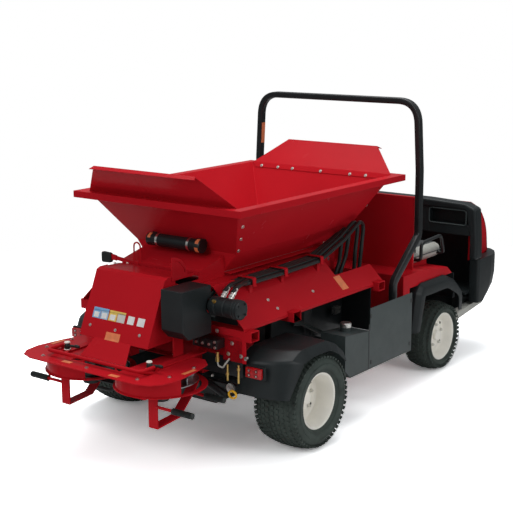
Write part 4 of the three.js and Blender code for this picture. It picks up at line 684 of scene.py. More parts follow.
def dress_tyre(w, side, sign):
    """A ring of rubber with a rounded shoulder, bead lines and rows of lugs."""
    node = "%s_%s_tyre" % (side, w["corner"])
    x, y, z = centre = (sign * w["centre"], w["y"], w["tyre"])
    parts = [turned(tyre_profile(w), segments=96, centre=centre, ring=True)]
    for reach, rise in ((0.93, 0.016), (0.985, 0.052)):
        for way in (-1, 1):
            out, radius = x + way * w["half"] * reach * 0.985, w["bead"] + rise
            circle = [(out, y + radius * math.cos(a), z + radius * math.sin(a)) for a in angles(72)]
            parts.append(swept(loop(circle), 0.0022, 6))
    made(node + "_rubber", parts, TYRE, body=body_of(node), swaps=(node,))
    around, rows = sizes().lugs_around, sizes().lug_rows
    if w is FRONT_WHEEL:
        around, rows = int(around * w["tyre"] / REAR_WHEEL["tyre"]), max(rows - 3, 3)
    span = w["half"] * 0.86
    grown(node + "_tread", tread_tree(), points_mesh([ORIGIN]), {
        "Around": around, "Rows": rows, "Radius": w["tyre"] - 0.0005, "Half Width": span,
        "Crown": 0.021 / span ** 2, "Lug Across": span * 2 / rows * 0.62,
        "Lug Along": 2 * math.pi * w["tyre"] / around * 0.60, "Lug Height": sizes().lug_height + 0.004,
        "Finish": coat(TYRE)}, body_of(node), "tyre_rubber", centre)


def round_row(centre, sign, out, radius, shift, count=5):
    """Places in a ring on a face that looks along X, with that facing."""
    x, y, z = centre
    turns = [2 * math.pi * (k + shift) / count for k in range(count)]
    return [((x + sign * out, y + radius * math.cos(a), z + radius * math.sin(a)), (sign, 0, 0))
            for a in turns]


def dress_rim(w, side, sign):
    """An enamelled rim with a dropped centre, a dished disc, a hub, nuts, and vents drawn as dark discs
    painted as the shade in their holes.
    """
    node = "%s_%s_rim" % (side, w["corner"])
    centre = (sign * w["centre"], w["y"], w["tyre"])
    low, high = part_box(node)
    near, far = sorted((abs(low.x), abs(high.x)))
    reach, back, lip, disc = far - w["centre"], near - w["centre"], (high.z - low.z) / 2, w["disc"]
    profile = [(lip - a, reach - b) for a, b in (
        (0.016, 0.016), (0.004, 0.010), (0, 0.004), (0.004, 0), (0.012, 0.001), (0.018, 0.010),
        (0.022, 0.030), (0.030, 0.045))]
    profile += [(lip - a, disc + b) for a, b in ((0.032, 0.012), (0.040, 0.002), (0.052, -0.002))]
    profile += [(r, disc + b) for r, b in (
        (0.098, 0.004), (0.086, 0.012), (0.074, 0.016), (0.066, 0.014), (0, 0.014), (0, 0.008),
        (0.066, 0.008), (0.088, 0.005), (0.098, -0.003))]
    profile += [(lip - a, disc + b) for a, b in ((0.052, -0.009), (0.036, -0.006))]
    profile += [(lip - a, back + b) for a, b in (
        (0.036, 0.040), (0.026, 0.026), (0.022, 0.008), (0.010, 0), (0, 0.003), (0.002, 0.010),
        (0.014, 0.018), (0.020, 0.034), (0.028, 0.048))]
    profile.append((lip - 0.028, reach - 0.046))
    hub = [(r, disc + b) for r, b in ((0, 0.012), (0.036, 0.012), (0.036, 0.030), (0.031, 0.036), (0, 0.038))]
    made(node + "_enamel", [turned(profile, "X", 72, centre, sign, True), turned(hub, "X", 40, centre, sign)],
         CREAM, body=body_of(node), swaps=(node,), edge=(0.0012, 2, 30))
    fasteners(node + "_nuts", round_row(centre, sign, disc + 0.0162, 0.0755, 0.25), body_of(node), ZINC,
              "steel", 0.010, 0.013, 1.25)
    # The vents are thin dark discs on the rim's face, painted as the shade seen through the holes.
    fasteners(node + "_vents", round_row(centre, sign, disc - 0.0012, 0.113, 0.5), body_of(node), CASTING,
              "cast_metal", 0.0085, 0.0018, 1.18, 20)


def dress_wheels(w):
    for side, sign in SIDES:
        dress_tyre(w, side, sign)
        dress_rim(w, side, sign)


# Hoop, sheet metal and moulded shells

def dress_hoop():
    """The bent hoop as one smooth tube, with its cross beam, feet and patch."""
    half = [(0.632, 1.385, 1.9085), (0.657, 1.385, 1.460), (0.657, 1.385, 1.030), (0.657, 1.072, 0.765),
            (0.657, 1.072, 0.540)]
    corners = [(-x, y, z) for x, y, z in reversed(half)] + half
    route = rounded_path(corners, [0.07, 0.06, 0.2, 0.150, 0.150, 0.2, 0.06, 0.07], 12)
    low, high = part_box("rops_hoop")
    parts = [carried(route, box_section(0.042, 0.0495, 0.010), (1, 0, 0)),
             brick((low.x, 1.042, 0.4753), (high.x, 1.102, 0.5453))]
    foot = [(0, 0), (0.040, 0), (0.040, 0.010), (0.026, 0.012), (0, 0.012)]
    parts += [turned(foot, "Z", 32, (sign * 0.657, 1.072, 0.5453)) for _, sign in SIDES]
    made("hoop_tube", parts, ENAMEL, swaps=("rops_hoop",), edge=(0.0035, 2, 50))
    verts = []
    for z in (1.560, 1.705):
        inner = 0.6363 - (z - 1.460) * 0.0557
        verts += [(-x, y, z) for x in (inner + 0.002, inner - 0.0009) for y in (1.366, 1.404)]
    faces = [[0, 1, 3, 2], [4, 5, 7, 6], [0, 1, 5, 4], [2, 3, 7, 6], [0, 2, 6, 4], [1, 3, 7, 5]]
    made("hoop_patch", [(verts, faces)], ORANGE, "red_paint")


SHEET_EDGES = {
    "hopper_shell": 0.003, "hopper_rear_flap": 0.002, "hopper_front_flap": 0.002, "conveyor_frame": 0.0015,
    "rear_cross_tube": 0.003, "middle_cross_tube": 0.004, "front_cross_tube": 0.004,
    "right_side_cover": 0.003, "left_side_cover": 0.003, "gate_bracket": 0.0012, "feed_gate": 0.0012,
    "gate_lever": 0.0015, "rear_hood": 0.003, "right_leg_frame": 0.0015, "left_leg_frame": 0.0015,
}
SHEET_ANGLES = {
    "gate_lever": 46, "right_leg_frame": 46, "left_leg_frame": 46, "gate_bracket": 40, "feed_gate": 40,
}


def dress_sheet_metal():
    for node, width in SHEET_EDGES.items():
        slot = SLOT_OF[node]
        material = STEEL if slot == "steel" else ENAMEL if slot.startswith("black") else RED
        dressed(node, material, width, 3 if width >= 0.003 else 2, SHEET_ANGLES.get(node, 9))


# A fender's line is (y, z, way in, way down) for each corner, its section (x, set in, lowered).
FRONT_FENDER = {
    "line": [(1.292, 0.376, 1, 0), (1.345, 0.640, 1.2, 0.3), (1.400, 0.698, 0.6, 1), (1.740, 0.698, 0, 1),
             (1.880, 0.640, -0.3, 1), (1.984, 0.540, -1, 0.3), (1.984, 0.412, -1, 0)],
    "round": [0.05, 0.05, 0.14, 0.12, 0.06],
    "section": [(0.476, 0, 0), (0.672, 0.004, 0.002), (0.699, 0.024, 0.026), (0.702, 0.030, 0.036),
                (0.702, 0.070, 0.090), (0.694, 0.070, 0.090), (0.693, 0.036, 0.044), (0.668, 0.014, 0.014),
                (0.476, 0.010, 0.010)],
}
REAR_FENDER = {
    "line": [(-0.420, 0.398, 1.2, 0), (-0.408, 0.600, 3.6, 0.5), (-0.290, 0.648, 3.0, 1),
             (0.050, 0.648, 0, 1), (0.160, 0.606, -0.5, 1), (0.250, 0.540, -0.6, 1)],
    "round": [0.04, 0.10, 0.10, 0.10],
    "section": [(0.548, 0, 0), (0.640, 0.002, 0), (0.760, 0.014, 0), (0.826, 0.032, 0.003),
                (0.855, 0.050, 0.045), (0.859, 0.054, 0.055), (0.851, 0.056, 0.057), (0.818, 0.040, 0.014),
                (0.760, 0.024, 0.012), (0.548, 0.012, 0.012)],
}
# Ahead of this Y and below this Z, a front fender keeps outside this X for the steered tyre.
STEER_ROOM = (1.860, 0.520, 0.632)


def fender_skin(shape, sign, room=None):
    """A rolled-edge shell: a line over the wheel, set in and lowered along the section to its lip."""
    rows = []
    for x, inset, drop in shape["section"]:
        line = [(0, y + a * inset, z - b * drop) for y, z, a, b in shape["line"]]
        row = []
        for _, y, z in rounded_path(line, shape["round"]):
            tight = room and y > room[0] and z < room[1]
            row.append((sign * (max(x, room[2]) if tight else x), y, z))
        rows.append(row)
    return rows_joined(rows, False)


def dress_fenders():
    """Moulded fenders with rolled edges, the rear ones with a stay and a lamp housing."""
    for side, sign in SIDES:
        node = side + "_front_fender"
        made(node + "_shell", [
            fender_skin(FRONT_FENDER, sign, STEER_ROOM),
            on_side(sign, (0.3104, 1.260, 0.400), (0.3144, 2.100, 0.620)),
            on_side(sign, (0.3150, 1.969, 0.496), (0.6200, 1.976, 0.660)),
            on_side(sign, (0.3150, 2.080, 0.300), (0.6000, 2.088, 0.4753))], CHARCOAL, swaps=(node,))
        node = side + "_rear_fender"
        made(node + "_shell", [
            fender_skin(REAR_FENDER, sign),
            on_side(sign, (0.3103, -0.412, 0.408), (0.560, -0.378, 0.434)),
            on_side(sign, (0.620, -0.432, 0.510), (0.745, -0.414, 0.582))],
             CHARCOAL, swaps=(node,), edge=(0.0015, 2, 60))


DASH_OUTER = [(-0.722, 0.735), (-0.718, 0.905), (-0.704, 1.103), (-0.620, 1.137), (-0.300, 1.150),
              (0.300, 1.150), (0.620, 1.137), (0.704, 1.103), (0.718, 0.905), (0.722, 0.735)]
DASH_INNER = [(0.662, 0.735), (0.660, 0.905), (0.628, 1.086), (-0.628, 1.086), (-0.660, 0.905),
              (-0.662, 0.735)]
POCKET_LOW, POCKET_HIGH = (0.330, 0.977), (0.628, 1.084)
BUMPER_BACK = 2.160
BUMPER_RING = [(0.640, 2.160), (0.722, 2.160), (0.722, 2.360), (0.704, 2.450), (0.660, 2.530),
               (0.600, 2.585), (0.570, 2.585), (0.570, 2.515), (0.600, 2.510), (0.640, 2.440)]
BUMPER_LEVELS = [(0.735, 0.985), (0.729, 1.0), (0.600, 1.0), (0.520, 0.90), (0.450, 0.62), (0.415, 0.40)]


def bumper_corner(sign):
    """The corner of the bumper, upright above and raked back below."""
    ring = rounded_outline(BUMPER_RING, 0.022, 4)
    rows = [[(sign * x, BUMPER_BACK + (y - BUMPER_BACK) * reach, z) for x, y in ring]
            for z, reach in BUMPER_LEVELS]
    return rows_joined(rows, True)


def dress_dash():
    """The roll over the dash with its pocket, the footwell, the front wall and the bumper."""
    slot = SLOT_OF["dash_cowl"]
    made("dash_roll", [slab(DASH_OUTER + DASH_INNER, 2.112, 2.215, "Y")], CHARCOAL, swaps=("dash_cowl",),
         edge=(0.020, 5, 30))
    left, sill = POCKET_LOW
    top = [(2.190, 1.100), (2.405, 0.942), (2.405, 0.954), (2.222, 1.108), (2.190, 1.112)]
    made("dash_footwell", [
        brick((-0.668, 2.122, 0.905), (left, 2.190, 1.100)),
        brick((left, 2.122, 0.905), (0.668, 2.190, sill)),
        brick((left - 0.01, 2.180, 0.950), (0.668, 2.200, 1.100)),
        brick((-0.620, 1.968, 0.4753), (0.620, 2.425, 0.4953)),
        brick((-0.584, 2.405, 0.4753), (0.584, 2.425, 0.966)),
        brick((-0.650, 2.104, 0.4753), (0.650, 2.400, 0.4950)),
        brick((-0.620, 2.400, 0.4753), (0.620, 2.530, 0.4950)), slab(top, -0.584, 0.584, "X"),
    ] + pair((0.575, 2.050, 0.345), (0.598, 2.480, 0.4753)), CHARCOAL, slot, edge=(0.003, 2, 40))
    made("bumper", [bumper_corner(sign) for _, sign in SIDES] + [
        brick((-0.600, 2.520, 0.500), (0.600, 2.585, 0.700))], CHARCOAL, slot, edge=(0.006, 3, 40))
    # A lighter grey ring round the pocket, painted as the highlight along its edge.
    rim = [(x, 2.1215, z) for x, z in rounded_outline(rectangle(POCKET_LOW, POCKET_HIGH), 0.020)]
    made("pocket_rim", [swept(loop(rim), 0.0042, 12)], PANEL, "grey_panel")
    step = [(1.960, 0.320), (2.360, 0.370), (2.360, 0.414), (1.960, 0.370)]
    made("step_sills", [slab(step, *sorted((sign * 0.600, sign * 0.660)), "X") for _, sign in SIDES],
         VINYL_PALE_AND_SEAT_HIGHLIGHT, "grey_panel", edge=(0.004, 2, 40))


def dress_carrier_shells():
    """The side panels, the cab body, the smooth nose, the chain guard, the tank caps, the tabs and a black
    strip painted as the shade in the gap beside each tank.
    """
    for node in ("right_side_panel", "left_side_panel"):
        dressed(node, PANEL, 0.007, 3, 24)
    dressed("cab_body", RED, 0.012, 4, 24)
    edge, middle = [rounded_path([(0, y, z) for y, z in line], 0.60, 12) for line in (
        [(2.222, 1.136), (2.370, 1.070), (2.480, 0.930), (2.512, 0.706)],
        [(2.222, 1.129), (2.367, 1.064), (2.474, 0.927), (2.505, 0.706)])]
    cheek = [(point.y, point.z) for point in edge] + [(2.222, 0.706)]
    nose = [carried(middle, box_section(1.224, 0.014, 0.004), (1, 0, 0))]
    nose += [slab(cheek, *sorted((sign * 0.600, sign * 0.612)), "X") for _, sign in SIDES]
    made("nose_shell", nose, RED, swaps=("nose_hood",), sharp=math.radians(50))
    dressed("chain_guard", CHARCOAL, 0.005, 3, 28)
    cap = [(0, 0.575), (0.030, 0.575), (0.030, 0.590), (0.036, 0.591), (0.036, 0.612), (0.031, 0.618),
           (0, 0.618)]
    made("tank_caps", [turned(cap, "Z", 32, (sign * 0.650, 0.527, 0)) for _, sign in SIDES], ZINC, "steel")
    # The first pair is a black strip painted as the shade in the gap between each tank and its panel; the rest
    # are tabs.
    gap_shade_and_tabs = pair((0.7393, 0.650, 0.302), (0.7413, 0.660, 0.590))
    for y, z in ((1.170, 0.640), (1.158, 0.352), (0.673, 0.641), (0.682, 0.342)):
        gap_shade_and_tabs += pair((0.7385, y - 0.008, z - 0.013), (0.7425, y + 0.008, z + 0.013))
    made("panel_tabs", gap_shade_and_tabs, ENAMEL, "black_steel")


def dress_rear_sheets():
    """Red sheets and an upright between the hood and the rear tube."""
    made("rear_sheets", [brick((-0.300, -0.452, 0.560), (0.300, -0.446, 0.762))] + pair(
        (0.264, -0.640, 0.6125), (0.276, -0.560, 0.790)), RED, "red_paint", edge=(0.002, 2, 40))


def dress_running_gear():
    """The rails, the cast pieces and the belt."""
    for node in ("right_frame_rail", "left_frame_rail"):
        dressed(node, ENAMEL, 0.004, 3, 30)
    for node, width in (("powertrain", 0.006), ("front_axle", 0.004), ("right_knuckle", 0.003),
                        ("left_knuckle", 0.003), ("spinner_drive", 0.003)):
        dressed(node, CASTING, width, 3, 30)
    dressed("conveyor_belt", RUBBER, 0.0012, 2, 40)


def dress_rollers():
    for node in ("drive_roller", "idler_roller"):
        dressed(node, STEEL, 0.001, 2, 46)


# Fastenings and patches that are seated on the frame's own surfaces

TREES = {}
SEARCH = 0.12


def surface_of(nodes):
    """A search tree over the shapes of some frame nodes."""
    if nodes not in TREES:
        verts, polys = [], []
        for node in nodes:
            mesh = frame["nodes"][node].data
            start = len(verts)
            verts += [v.co.copy() for v in mesh.vertices]
            polys += [[i + start for i in p.vertices] for p in mesh.polygons]
        TREES[nodes] = BVHTree.FromPolygons(verts, polys)
    return TREES[nodes]


def landed(spot, direction, nodes):
    """Where a place lands on the nodes when it moves against the direction, and the surface's facing."""
    start = place(*spot) + direction * SEARCH
    hit, normal, _, _ = surface_of(nodes).ray_cast(start, -direction, 2 * SEARCH)
    if hit is None:
        raise RuntimeError("no surface under %s" % (tuple(spot),))
    return hit - place(*ORIGIN), normal


def seated(points, nodes):
    """Each point moved against its facing onto the surface, with the surface's own facing."""
    found = []
    for spot, facing in points:
        direction = Vector(facing).normalized()
        hit, normal = landed(spot, direction, nodes)
        found.append((hit, normal if normal.dot(direction) >= 0 else -normal))
    return found


def laid(corners, facing, nodes, lift=0.0004, thick=0.0008, grid=6):
    """A thin plain patch that lies on a surface between four corners."""
    direction = Vector(facing).normalized()
    a, b, c, d = [Vector(p) for p in corners]
    parts = [k / grid for k in range(grid + 1)]
    spots = [(a * (1 - u) + b * u) * (1 - v) + (d * (1 - u) + c * u) * v for u in parts for v in parts]
    hits = [landed(spot, direction, nodes)[0] for spot in spots]
    verts = [hit + direction * level for level in (lift, lift + thick) for hit in hits]
    step, layer = grid + 1, len(hits)
    faces = []
    for i in range(grid):
        for j in range(grid):
            quad = [i * step + j, (i + 1) * step + j, (i + 1) * step + j + 1, i * step + j + 1]
            faces += [quad, [layer + k for k in reversed(quad)]]
    rim = [i * step for i in range(step)] + [grid * step + j for j in range(1, step)]
    rim += [i * step + grid for i in range(grid - 1, -1, -1)] + list(range(grid - 1, 0, -1))
    faces += [[p, q, layer + q, layer + p] for p, q in zip(rim, rim[1:] + rim[:1])]
    return verts, faces


HOOD_FACING = (0, -0.9175, 0.3977)
COVER_FACING = (0.69, 0, 0.72)
PATCH_LIFT, SECOND_LIFT = 0.0004, 0.0014
# Each patch of the hood is (finish, x0, x1, z0, z1), and the upper ones lie on the first row.
HOOD_ROW = [
    ("blue", -0.198, -0.140, 0.804, 0.850), ("pale_blue", -0.137, -0.080, 0.804, 0.850),
    ("yellow", -0.074, -0.014, 0.804, 0.850), ("pale", -0.010, 0.048, 0.804, 0.850),
    ("white", 0.070, 0.118, 0.806, 0.848), ("white", 0.143, 0.195, 0.806, 0.848),
    ("blue", -0.198, -0.080, 0.852, 0.868), ("yellow", -0.074, 0.048, 0.852, 0.866)]
HOOD_UPPER = [("white", x0, x1, 0.810, 0.838) for x0, x1 in (
    (-0.188, -0.150), (-0.128, -0.090), (-0.064, -0.024))]
DECK_PATCHES = [(-0.165, -1.032, 0.065, 0.030), (0.219, -1.059, 0.065, 0.030), (0.497, -0.772, 0.025, 0.100),
                (-0.497, -0.787, 0.025, 0.100)]


def hood_patch(name, material, x0, x1, y, z0, z1, lift=PATCH_LIFT):
    """A patch on the face of the hood, which leans forward as it rises."""
    top = y + 0.43 * (z1 - z0)
    corners = [(x0, y, z0), (x1, y, z0), (x1, top, z1), (x0, top, z1)]
    made(name, [laid(corners, HOOD_FACING, ("rear_hood",), lift)], material, "grey_panel")


def dress_patches():
    """Plain patches on the hood, the deck and the cover, without any marks."""
    for i, (colour, x0, x1, z0, z1) in enumerate(HOOD_ROW + HOOD_UPPER):
        lift = PATCH_LIFT if i < len(HOOD_ROW) else SECOND_LIFT
        hood_patch("hood_patch_%d" % i, colour, x0, x1, -0.796, z0, z1, lift)
    hood_patch("hood_orange_patch", ORANGE, -0.062, 0.045, -0.83, 0.700, 0.742)
    deck = []
    for x, y, wide, long in DECK_PATCHES:
        outline = rectangle((x - wide / 2, y - long / 2), (x + wide / 2, y + long / 2))
        deck.append(laid([(u, v, 0.603) for u, v in outline], UP, ("spinner_deck",)))
    made("deck_patches", deck, ORANGE, "grey_panel", "spinner_carriage")
    cover = [(0.519, 0.567, 0.87), (0.594, 0.567, 0.80), (0.594, 0.634, 0.80), (0.519, 0.634, 0.87)]
    made("cover_patch", [laid(cover, COVER_FACING, ("right_side_cover",))], ORANGE, "grey_panel")


WALL = (0.850, 0, -0.5265)
SIDE_BOLTS = [(spot, WALL) for spot in (
    (0.322, 0.881, 1.042), (0.382, 0.987, 1.139), (0.451, 1.068, 1.25), (0.496, -0.295, 1.323),
    (0.444, -0.248, 1.24), (0.395, -0.209, 1.159))]
BASE_BOLTS = [((0.300, y, 1.034), (0.780, 0, -0.6255)) for y in (-0.10, 0.135, 0.379, 0.626, 0.80)]
REAR_BOLTS = [((x, -0.402, 1.405), (0, -0.8155, -0.5787)) for x in (-0.434, -0.224, -0.014, 0.203)]
FLAP_BOLTS = [((x, 1.165, 1.430), (0, -1, 0.35)) for x in (-0.476, -0.335, -0.212, 0.021, 0.255, 0.378)]
HOOD_BOLTS = [((x, -0.82, 0.765), HOOD_FACING) for x in (-0.197, -0.002, 0.181)]
COVER_BOLTS = [(spot, COVER_FACING) for spot in (
    (0.532, -0.112, 0.872), (0.582, -0.087, 0.825), (0.560, 0.30, 0.846))]
DECK_BOLTS = [((x, y, 0.603), UP) for x, y in (
    (-0.47, -0.70), (0.47, -0.70), (-0.36, -1.03), (0.36, -1.03), (0.0, -1.045), (-0.22, -0.575),
    (0.22, -0.575), (-0.47, -0.90), (0.47, -0.90))]
HANGER_BOLTS = [((x, -0.438, z), BACK) for x, z in (
    (0.527, 0.690), (0.500, 0.625), (0.590, 0.625), (0.345, 0.745), (0.420, 0.745))]


def dress_bolts():
    """Rows of zinc bolts, each as high as three quarters of its radius."""
    deck = ("spinner_deck",)
    for name, points, nodes, radius in (
            ("hopper_side_bolts", mirror_points(SIDE_BOLTS), ("hopper_shell",), 0.0075),
            ("hopper_base_bolts", mirror_points(BASE_BOLTS), ("hopper_shell", "conveyor_frame"), 0.0062),
            ("hopper_rear_bolts", REAR_BOLTS, ("hopper_shell",), 0.0075),
            ("hopper_flap_bolts", FLAP_BOLTS, ("hopper_front_flap", "hopper_shell"), 0.0072),
            ("hood_bolts", HOOD_BOLTS, ("rear_hood",), 0.0060),
            ("cover_bolts", mirror_points(COVER_BOLTS), ("right_side_cover", "left_side_cover"), 0.0065),
            ("deck_bolts", DECK_BOLTS, deck, 0.0078),
            ("hanger_bolts", mirror_points(HANGER_BOLTS), ("rear_cross_tube",), 0.0085)):
        body = "spinner_carriage" if nodes == deck else "chassis"
        fasteners(name, seated(points, nodes), body, ZINC, "steel", radius, radius * 0.75)


# Gate, hydraulics, conveyor drive and document tube

def dress_gate():
    """The gate lever's black grip, its link rod and the comb beside it, whose slots are black strips painted
    as their shade.
    """
    body = body_of("gate_lever")
    grip = rounded_outline([(-0.449, 1.030), (-0.372, 1.034), (-0.372, 1.092), (-0.449, 1.096)], 0.016, 5)
    made("gate_grip", [slab(grip, -0.4600, -0.4330, "Y")], RUBBER, "black_rubber", body, edge=(0.006, 3, 40))
    ends = [(-0.341, -0.458, 1.037), (-0.235, -0.458, 1.049)]
    ball = [(0, -0.009), (0.006, -0.006), (0.0085, 0), (0.006, 0.006), (0, 0.009)]
    made("gate_rod", [swept(ends, 0.0034, 12)] + [turned(ball, "Z", 20, end) for end in ends],
         ZINC, "steel", body)
    made("gate_comb_plate", [brick((-0.150, -0.430, 0.984), (0.062, -0.426, 1.028))], RED, "red_paint")
    # The slots are thin black strips on the plate, painted shade where the openings would be.
    made("gate_comb", [brick((x - 0.005, -0.4306, 0.988), (x + 0.005, -0.4298, 1.006))
                       for x in [-0.135 + 0.0225 * k for k in range(9)]], "black", "black_steel")


def peg(radius, start, end, sides=20):
    """A short plain rod between two places."""
    return swept([start, end], radius, sides)


def dress_hydraulics():
    """The valve block, fittings and short hoses beside the rear tube, the engine bay's pieces, and black
    sheets painted as the engine bay's shade.
    """
    y, front = -0.486, -0.516
    valves = [brick((x, front, 0.664), (x + 0.032, -0.500, 0.708)) for x in (0.318, 0.364, 0.410)]
    # The last two boxes are black sheets painted as the shade in the engine bay, hiding the red body behind
    # it.
    made("valve_block", valves + [brick(*corners) for corners in (
        ((0.300, -0.510, 0.658), (0.476, -0.4385, 0.714)), ((0.305, -0.4380, 0.500), (0.600, -0.4300, 0.735)),
        ((0.392, 0.100, 0.480), (0.400, 0.870, 0.750)), ((0.320, 0.874, 0.480), (0.610, 0.882, 0.762)))],
         ENAMEL, "black_steel", edge=(0.003, 2, 40))
    heads = [(x, front, 0.686) for x in (0.334, 0.380, 0.426)]
    heads += [(0.462, -0.510, 0.670), (0.462, -0.510, 0.702), (0.387, -0.440, 0.478)]
    fasteners("valve_bolts", [(head, BACK) for head in heads], "chassis", ZINC, "steel", 0.007, 0.006, 1.2)
    made("brass_fittings", [peg(radius, (x, y, z0), (x, y, z1)) for radius, x, z0, z1 in (
        (0.0125, 0.461, 0.585, 0.609), (0.009, 0.461, 0.609, 0.640), (0.0062, 0.532, 0.489, 0.581),
        (0.0062, 0.609, 0.486, 0.590), (0.010, 0.532, 0.520, 0.534), (0.010, 0.609, 0.560, 0.574))],
         BRASS, "steel")
    hoses("drain_hose", [[(0.461, y, 0.585), (0.466, y, 0.560), (0.500, y, 0.556), (0.512, y, 0.575),
                          (0.512, -0.445, 0.600)]], 0.0052, 0.014, VINYL_PALE_AND_SEAT_HIGHLIGHT, "grey_panel", 12)
    made("trim_cylinder", [peg(0.021, (0.372, y, 0.458), (0.523, y, 0.394), 28)], ENAMEL, "black_steel")
    made("hose_ends", [peg(0.027, (0.545, -0.470, 0.445), (0.545, -0.484, 0.445), 28),
                       peg(0.012, (0.631, -0.440, 0.622), (0.631, -0.452, 0.622))], ZINC, "steel")
    ring = [(0.565 + 0.026 * math.cos(a), y, 0.412 + 0.020 * math.sin(a)) for a in angles(40)]
    made("yellow_cap", [swept(loop(ring), 0.0065, 14)], "yellow_plastic", "grey_panel")
    made("engine_box", [brick((0.440, 0.685, 0.606), (0.470, 0.744, 0.651))], ZINC, "steel")
    made("engine_cap", [peg(0.030, (0.440, 1.020, 0.592), (0.475, 1.020, 0.592), 28)],
         "yellow_plastic", "grey_panel")
    hoses("hanging_hose", [[(-0.330, -0.520, 0.400), (-0.440, -0.560, 0.345), (-0.400, -0.600, 0.300),
                            (-0.270, -0.600, 0.302), (-0.180, -0.580, 0.350), (-0.120, -0.520, 0.420)]],
          0.011, 0.06, RUBBER, "black_rubber")
    hoses("engine_hose", [[(0.452, 0.240, 0.640), (0.455, 0.330, 0.625), (0.455, 0.520, 0.530),
                           (0.452, 0.640, 0.470)]], 0.014, 0.10, RUBBER, "black_rubber")


MOTOR_AXIS = (0, -0.517, 0.915)
MOTOR_BANDS = [
    (0.0335, 0.452), (0.046, 0.456), (0.0525, 0.462), (0.0528, 0.500), (0.0502, 0.503), (0.0502, 0.508),
    (0.0528, 0.511), (0.0528, 0.560), (0.0505, 0.563), (0.0505, 0.572), (0.0528, 0.575), (0.0528, 0.612),
    (0.0560, 0.614), (0.0560, 0.622), (0.0525, 0.624), (0.0525, 0.630), (0.0560, 0.632), (0.0560, 0.640),
    (0.0525, 0.642), (0.0525, 0.648), (0.0545, 0.650), (0.0545, 0.656), (0.047, 0.661)]
FITTING = [(0, 0.045), (0.014, 0.045), (0.0145, 0.066), (0.0175, 0.068), (0.0175, 0.078), (0.0125, 0.080),
           (0.0125, 0.086), (0.0160, 0.087), (0.0160, 0.101), (0.0130, 0.102), (0.0130, 0.128), (0, 0.128)]
FITTING_LEAN = 0.85


def dress_motor():
    """A gear motor with a flange, a neck, a banded body, an end cap and two fittings."""
    low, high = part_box("conveyor_motor")
    flange = [(0, low.x), (0.0455, low.x), (0.0455, low.x + 0.012), (0.034, low.x + 0.014)]
    made("motor_body", [turned(flange + MOTOR_BANDS + [(0, high.x)], centre=MOTOR_AXIS)], CHARCOAL,
         swaps=("conveyor_motor",), edge=(0.0012, 2, 35))
    fasteners("motor_cap_bolts", round_row(MOTOR_AXIS, 1, high.x - 0.001, 0.040, 0.5, 4), "chassis", ENAMEL,
              "black_steel", 0.006, 0.006, 1.2)
    fasteners("motor_plug", [((0.500, -0.5560, 0.948), (0, -0.8, 0.6))], "chassis", BRASS, "steel",
              0.0085, 0.012, 1.3)
    rise = Vector((0, math.sin(FITTING_LEAN), math.cos(FITTING_LEAN)))
    turn = Vector(UP).rotation_difference(rise).to_matrix().to_4x4()
    made("motor_fittings", [
        moved(turned(FITTING, "Z", 24), Matrix.Translation((x, MOTOR_AXIS[1], MOTOR_AXIS[2])) @ turn)
        for x in (0.490, 0.545)], ZINC, "steel")


SUPPLY = [(0.545, -0.455, 0.985), (0.543, -0.400, 1.010), (0.500, -0.300, 1.002), (0.458, -0.190, 0.994),
          (0.458, 0.120, 0.994), (0.458, 0.480, 1.002), (0.450, 0.760, 1.090), (0.440, 0.930, 1.165),
          (0.424, 1.010, 1.130), (0.408, 1.004, 0.960), (0.400, 1.000, 0.780), (0.392, 0.996, 0.562)]
RETURN = [(0.490, -0.455, 0.985), (0.488, -0.400, 1.010), (0.456, -0.300, 1.002), (0.430, -0.190, 0.994),
          (0.430, 0.120, 0.994), (0.430, 0.480, 1.002), (0.420, 0.740, 1.080), (0.408, 0.880, 1.130),
          (0.396, 0.950, 1.080), (0.382, 0.930, 0.930), (0.372, 0.850, 0.780), (0.360, 0.790, 0.562)]
SPREADER_A = [(0.330, -0.400, 0.905), (0.345, -0.370, 0.955), (0.385, -0.300, 0.985), (0.402, -0.190, 0.995),
              (0.402, 0.120, 0.995), (0.402, 0.480, 1.003), (0.398, 0.720, 1.070), (0.388, 0.850, 1.105),
              (0.372, 0.900, 1.050), (0.366, 0.880, 0.900), (0.352, 0.800, 0.720), (0.340, 0.740, 0.600)]
SPREADER_B = [(0.330, -0.380, 0.880), (0.360, -0.350, 0.930), (0.440, -0.285, 0.978), (0.486, -0.190, 0.985),
              (0.486, 0.120, 0.985), (0.486, 0.480, 0.992), (0.478, 0.760, 1.075), (0.468, 0.950, 1.160),
              (0.446, 1.045, 1.140), (0.424, 1.050, 0.960), (0.414, 1.040, 0.800), (0.404, 1.030, 0.640)]
HOSE_BEND = 0.080
# The clamp's section is (x, height over the hoses' line); each clamp is (y, its lift).
CLAMP_SECTION = [(0.384, 0.004), (0.384, 0.0165), (0.390, 0.0195), (0.498, 0.0195), (0.506, 0.012),
                 (0.506, -0.020), (0.512, -0.030), (0.507, -0.0335), (0.5005, -0.021), (0.5005, 0.008),
                 (0.495, 0.0145), (0.392, 0.0145), (0.3885, 0.010), (0.3885, 0.004)]
CLAMPS = [(-0.200, 0.002), (0.107, 0.002), (0.479, 0.008)]


def dress_hoses():
    """Four hydraulic hoses lie side by side over the cover, held by three painted clamps."""
    radius = sizes().hose_radius
    for line, node in ((SUPPLY, "supply_hose"), (RETURN, "return_hose")):
        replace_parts(hoses(node + "_run", [line], radius, HOSE_BEND, RUBBER, SLOT_OF[node]), node)
    hoses("spreader_hoses", [SPREADER_A, SPREADER_B], radius, HOSE_BEND, RUBBER, "black_rubber")
    made("hose_clamps", [slab([(x, 0.9945 + z + lift) for x, z in CLAMP_SECTION], y - 0.014, y + 0.014, "Y")
                         for y, lift in CLAMPS], RED, "red_paint", edge=(0.001, 2, 40))


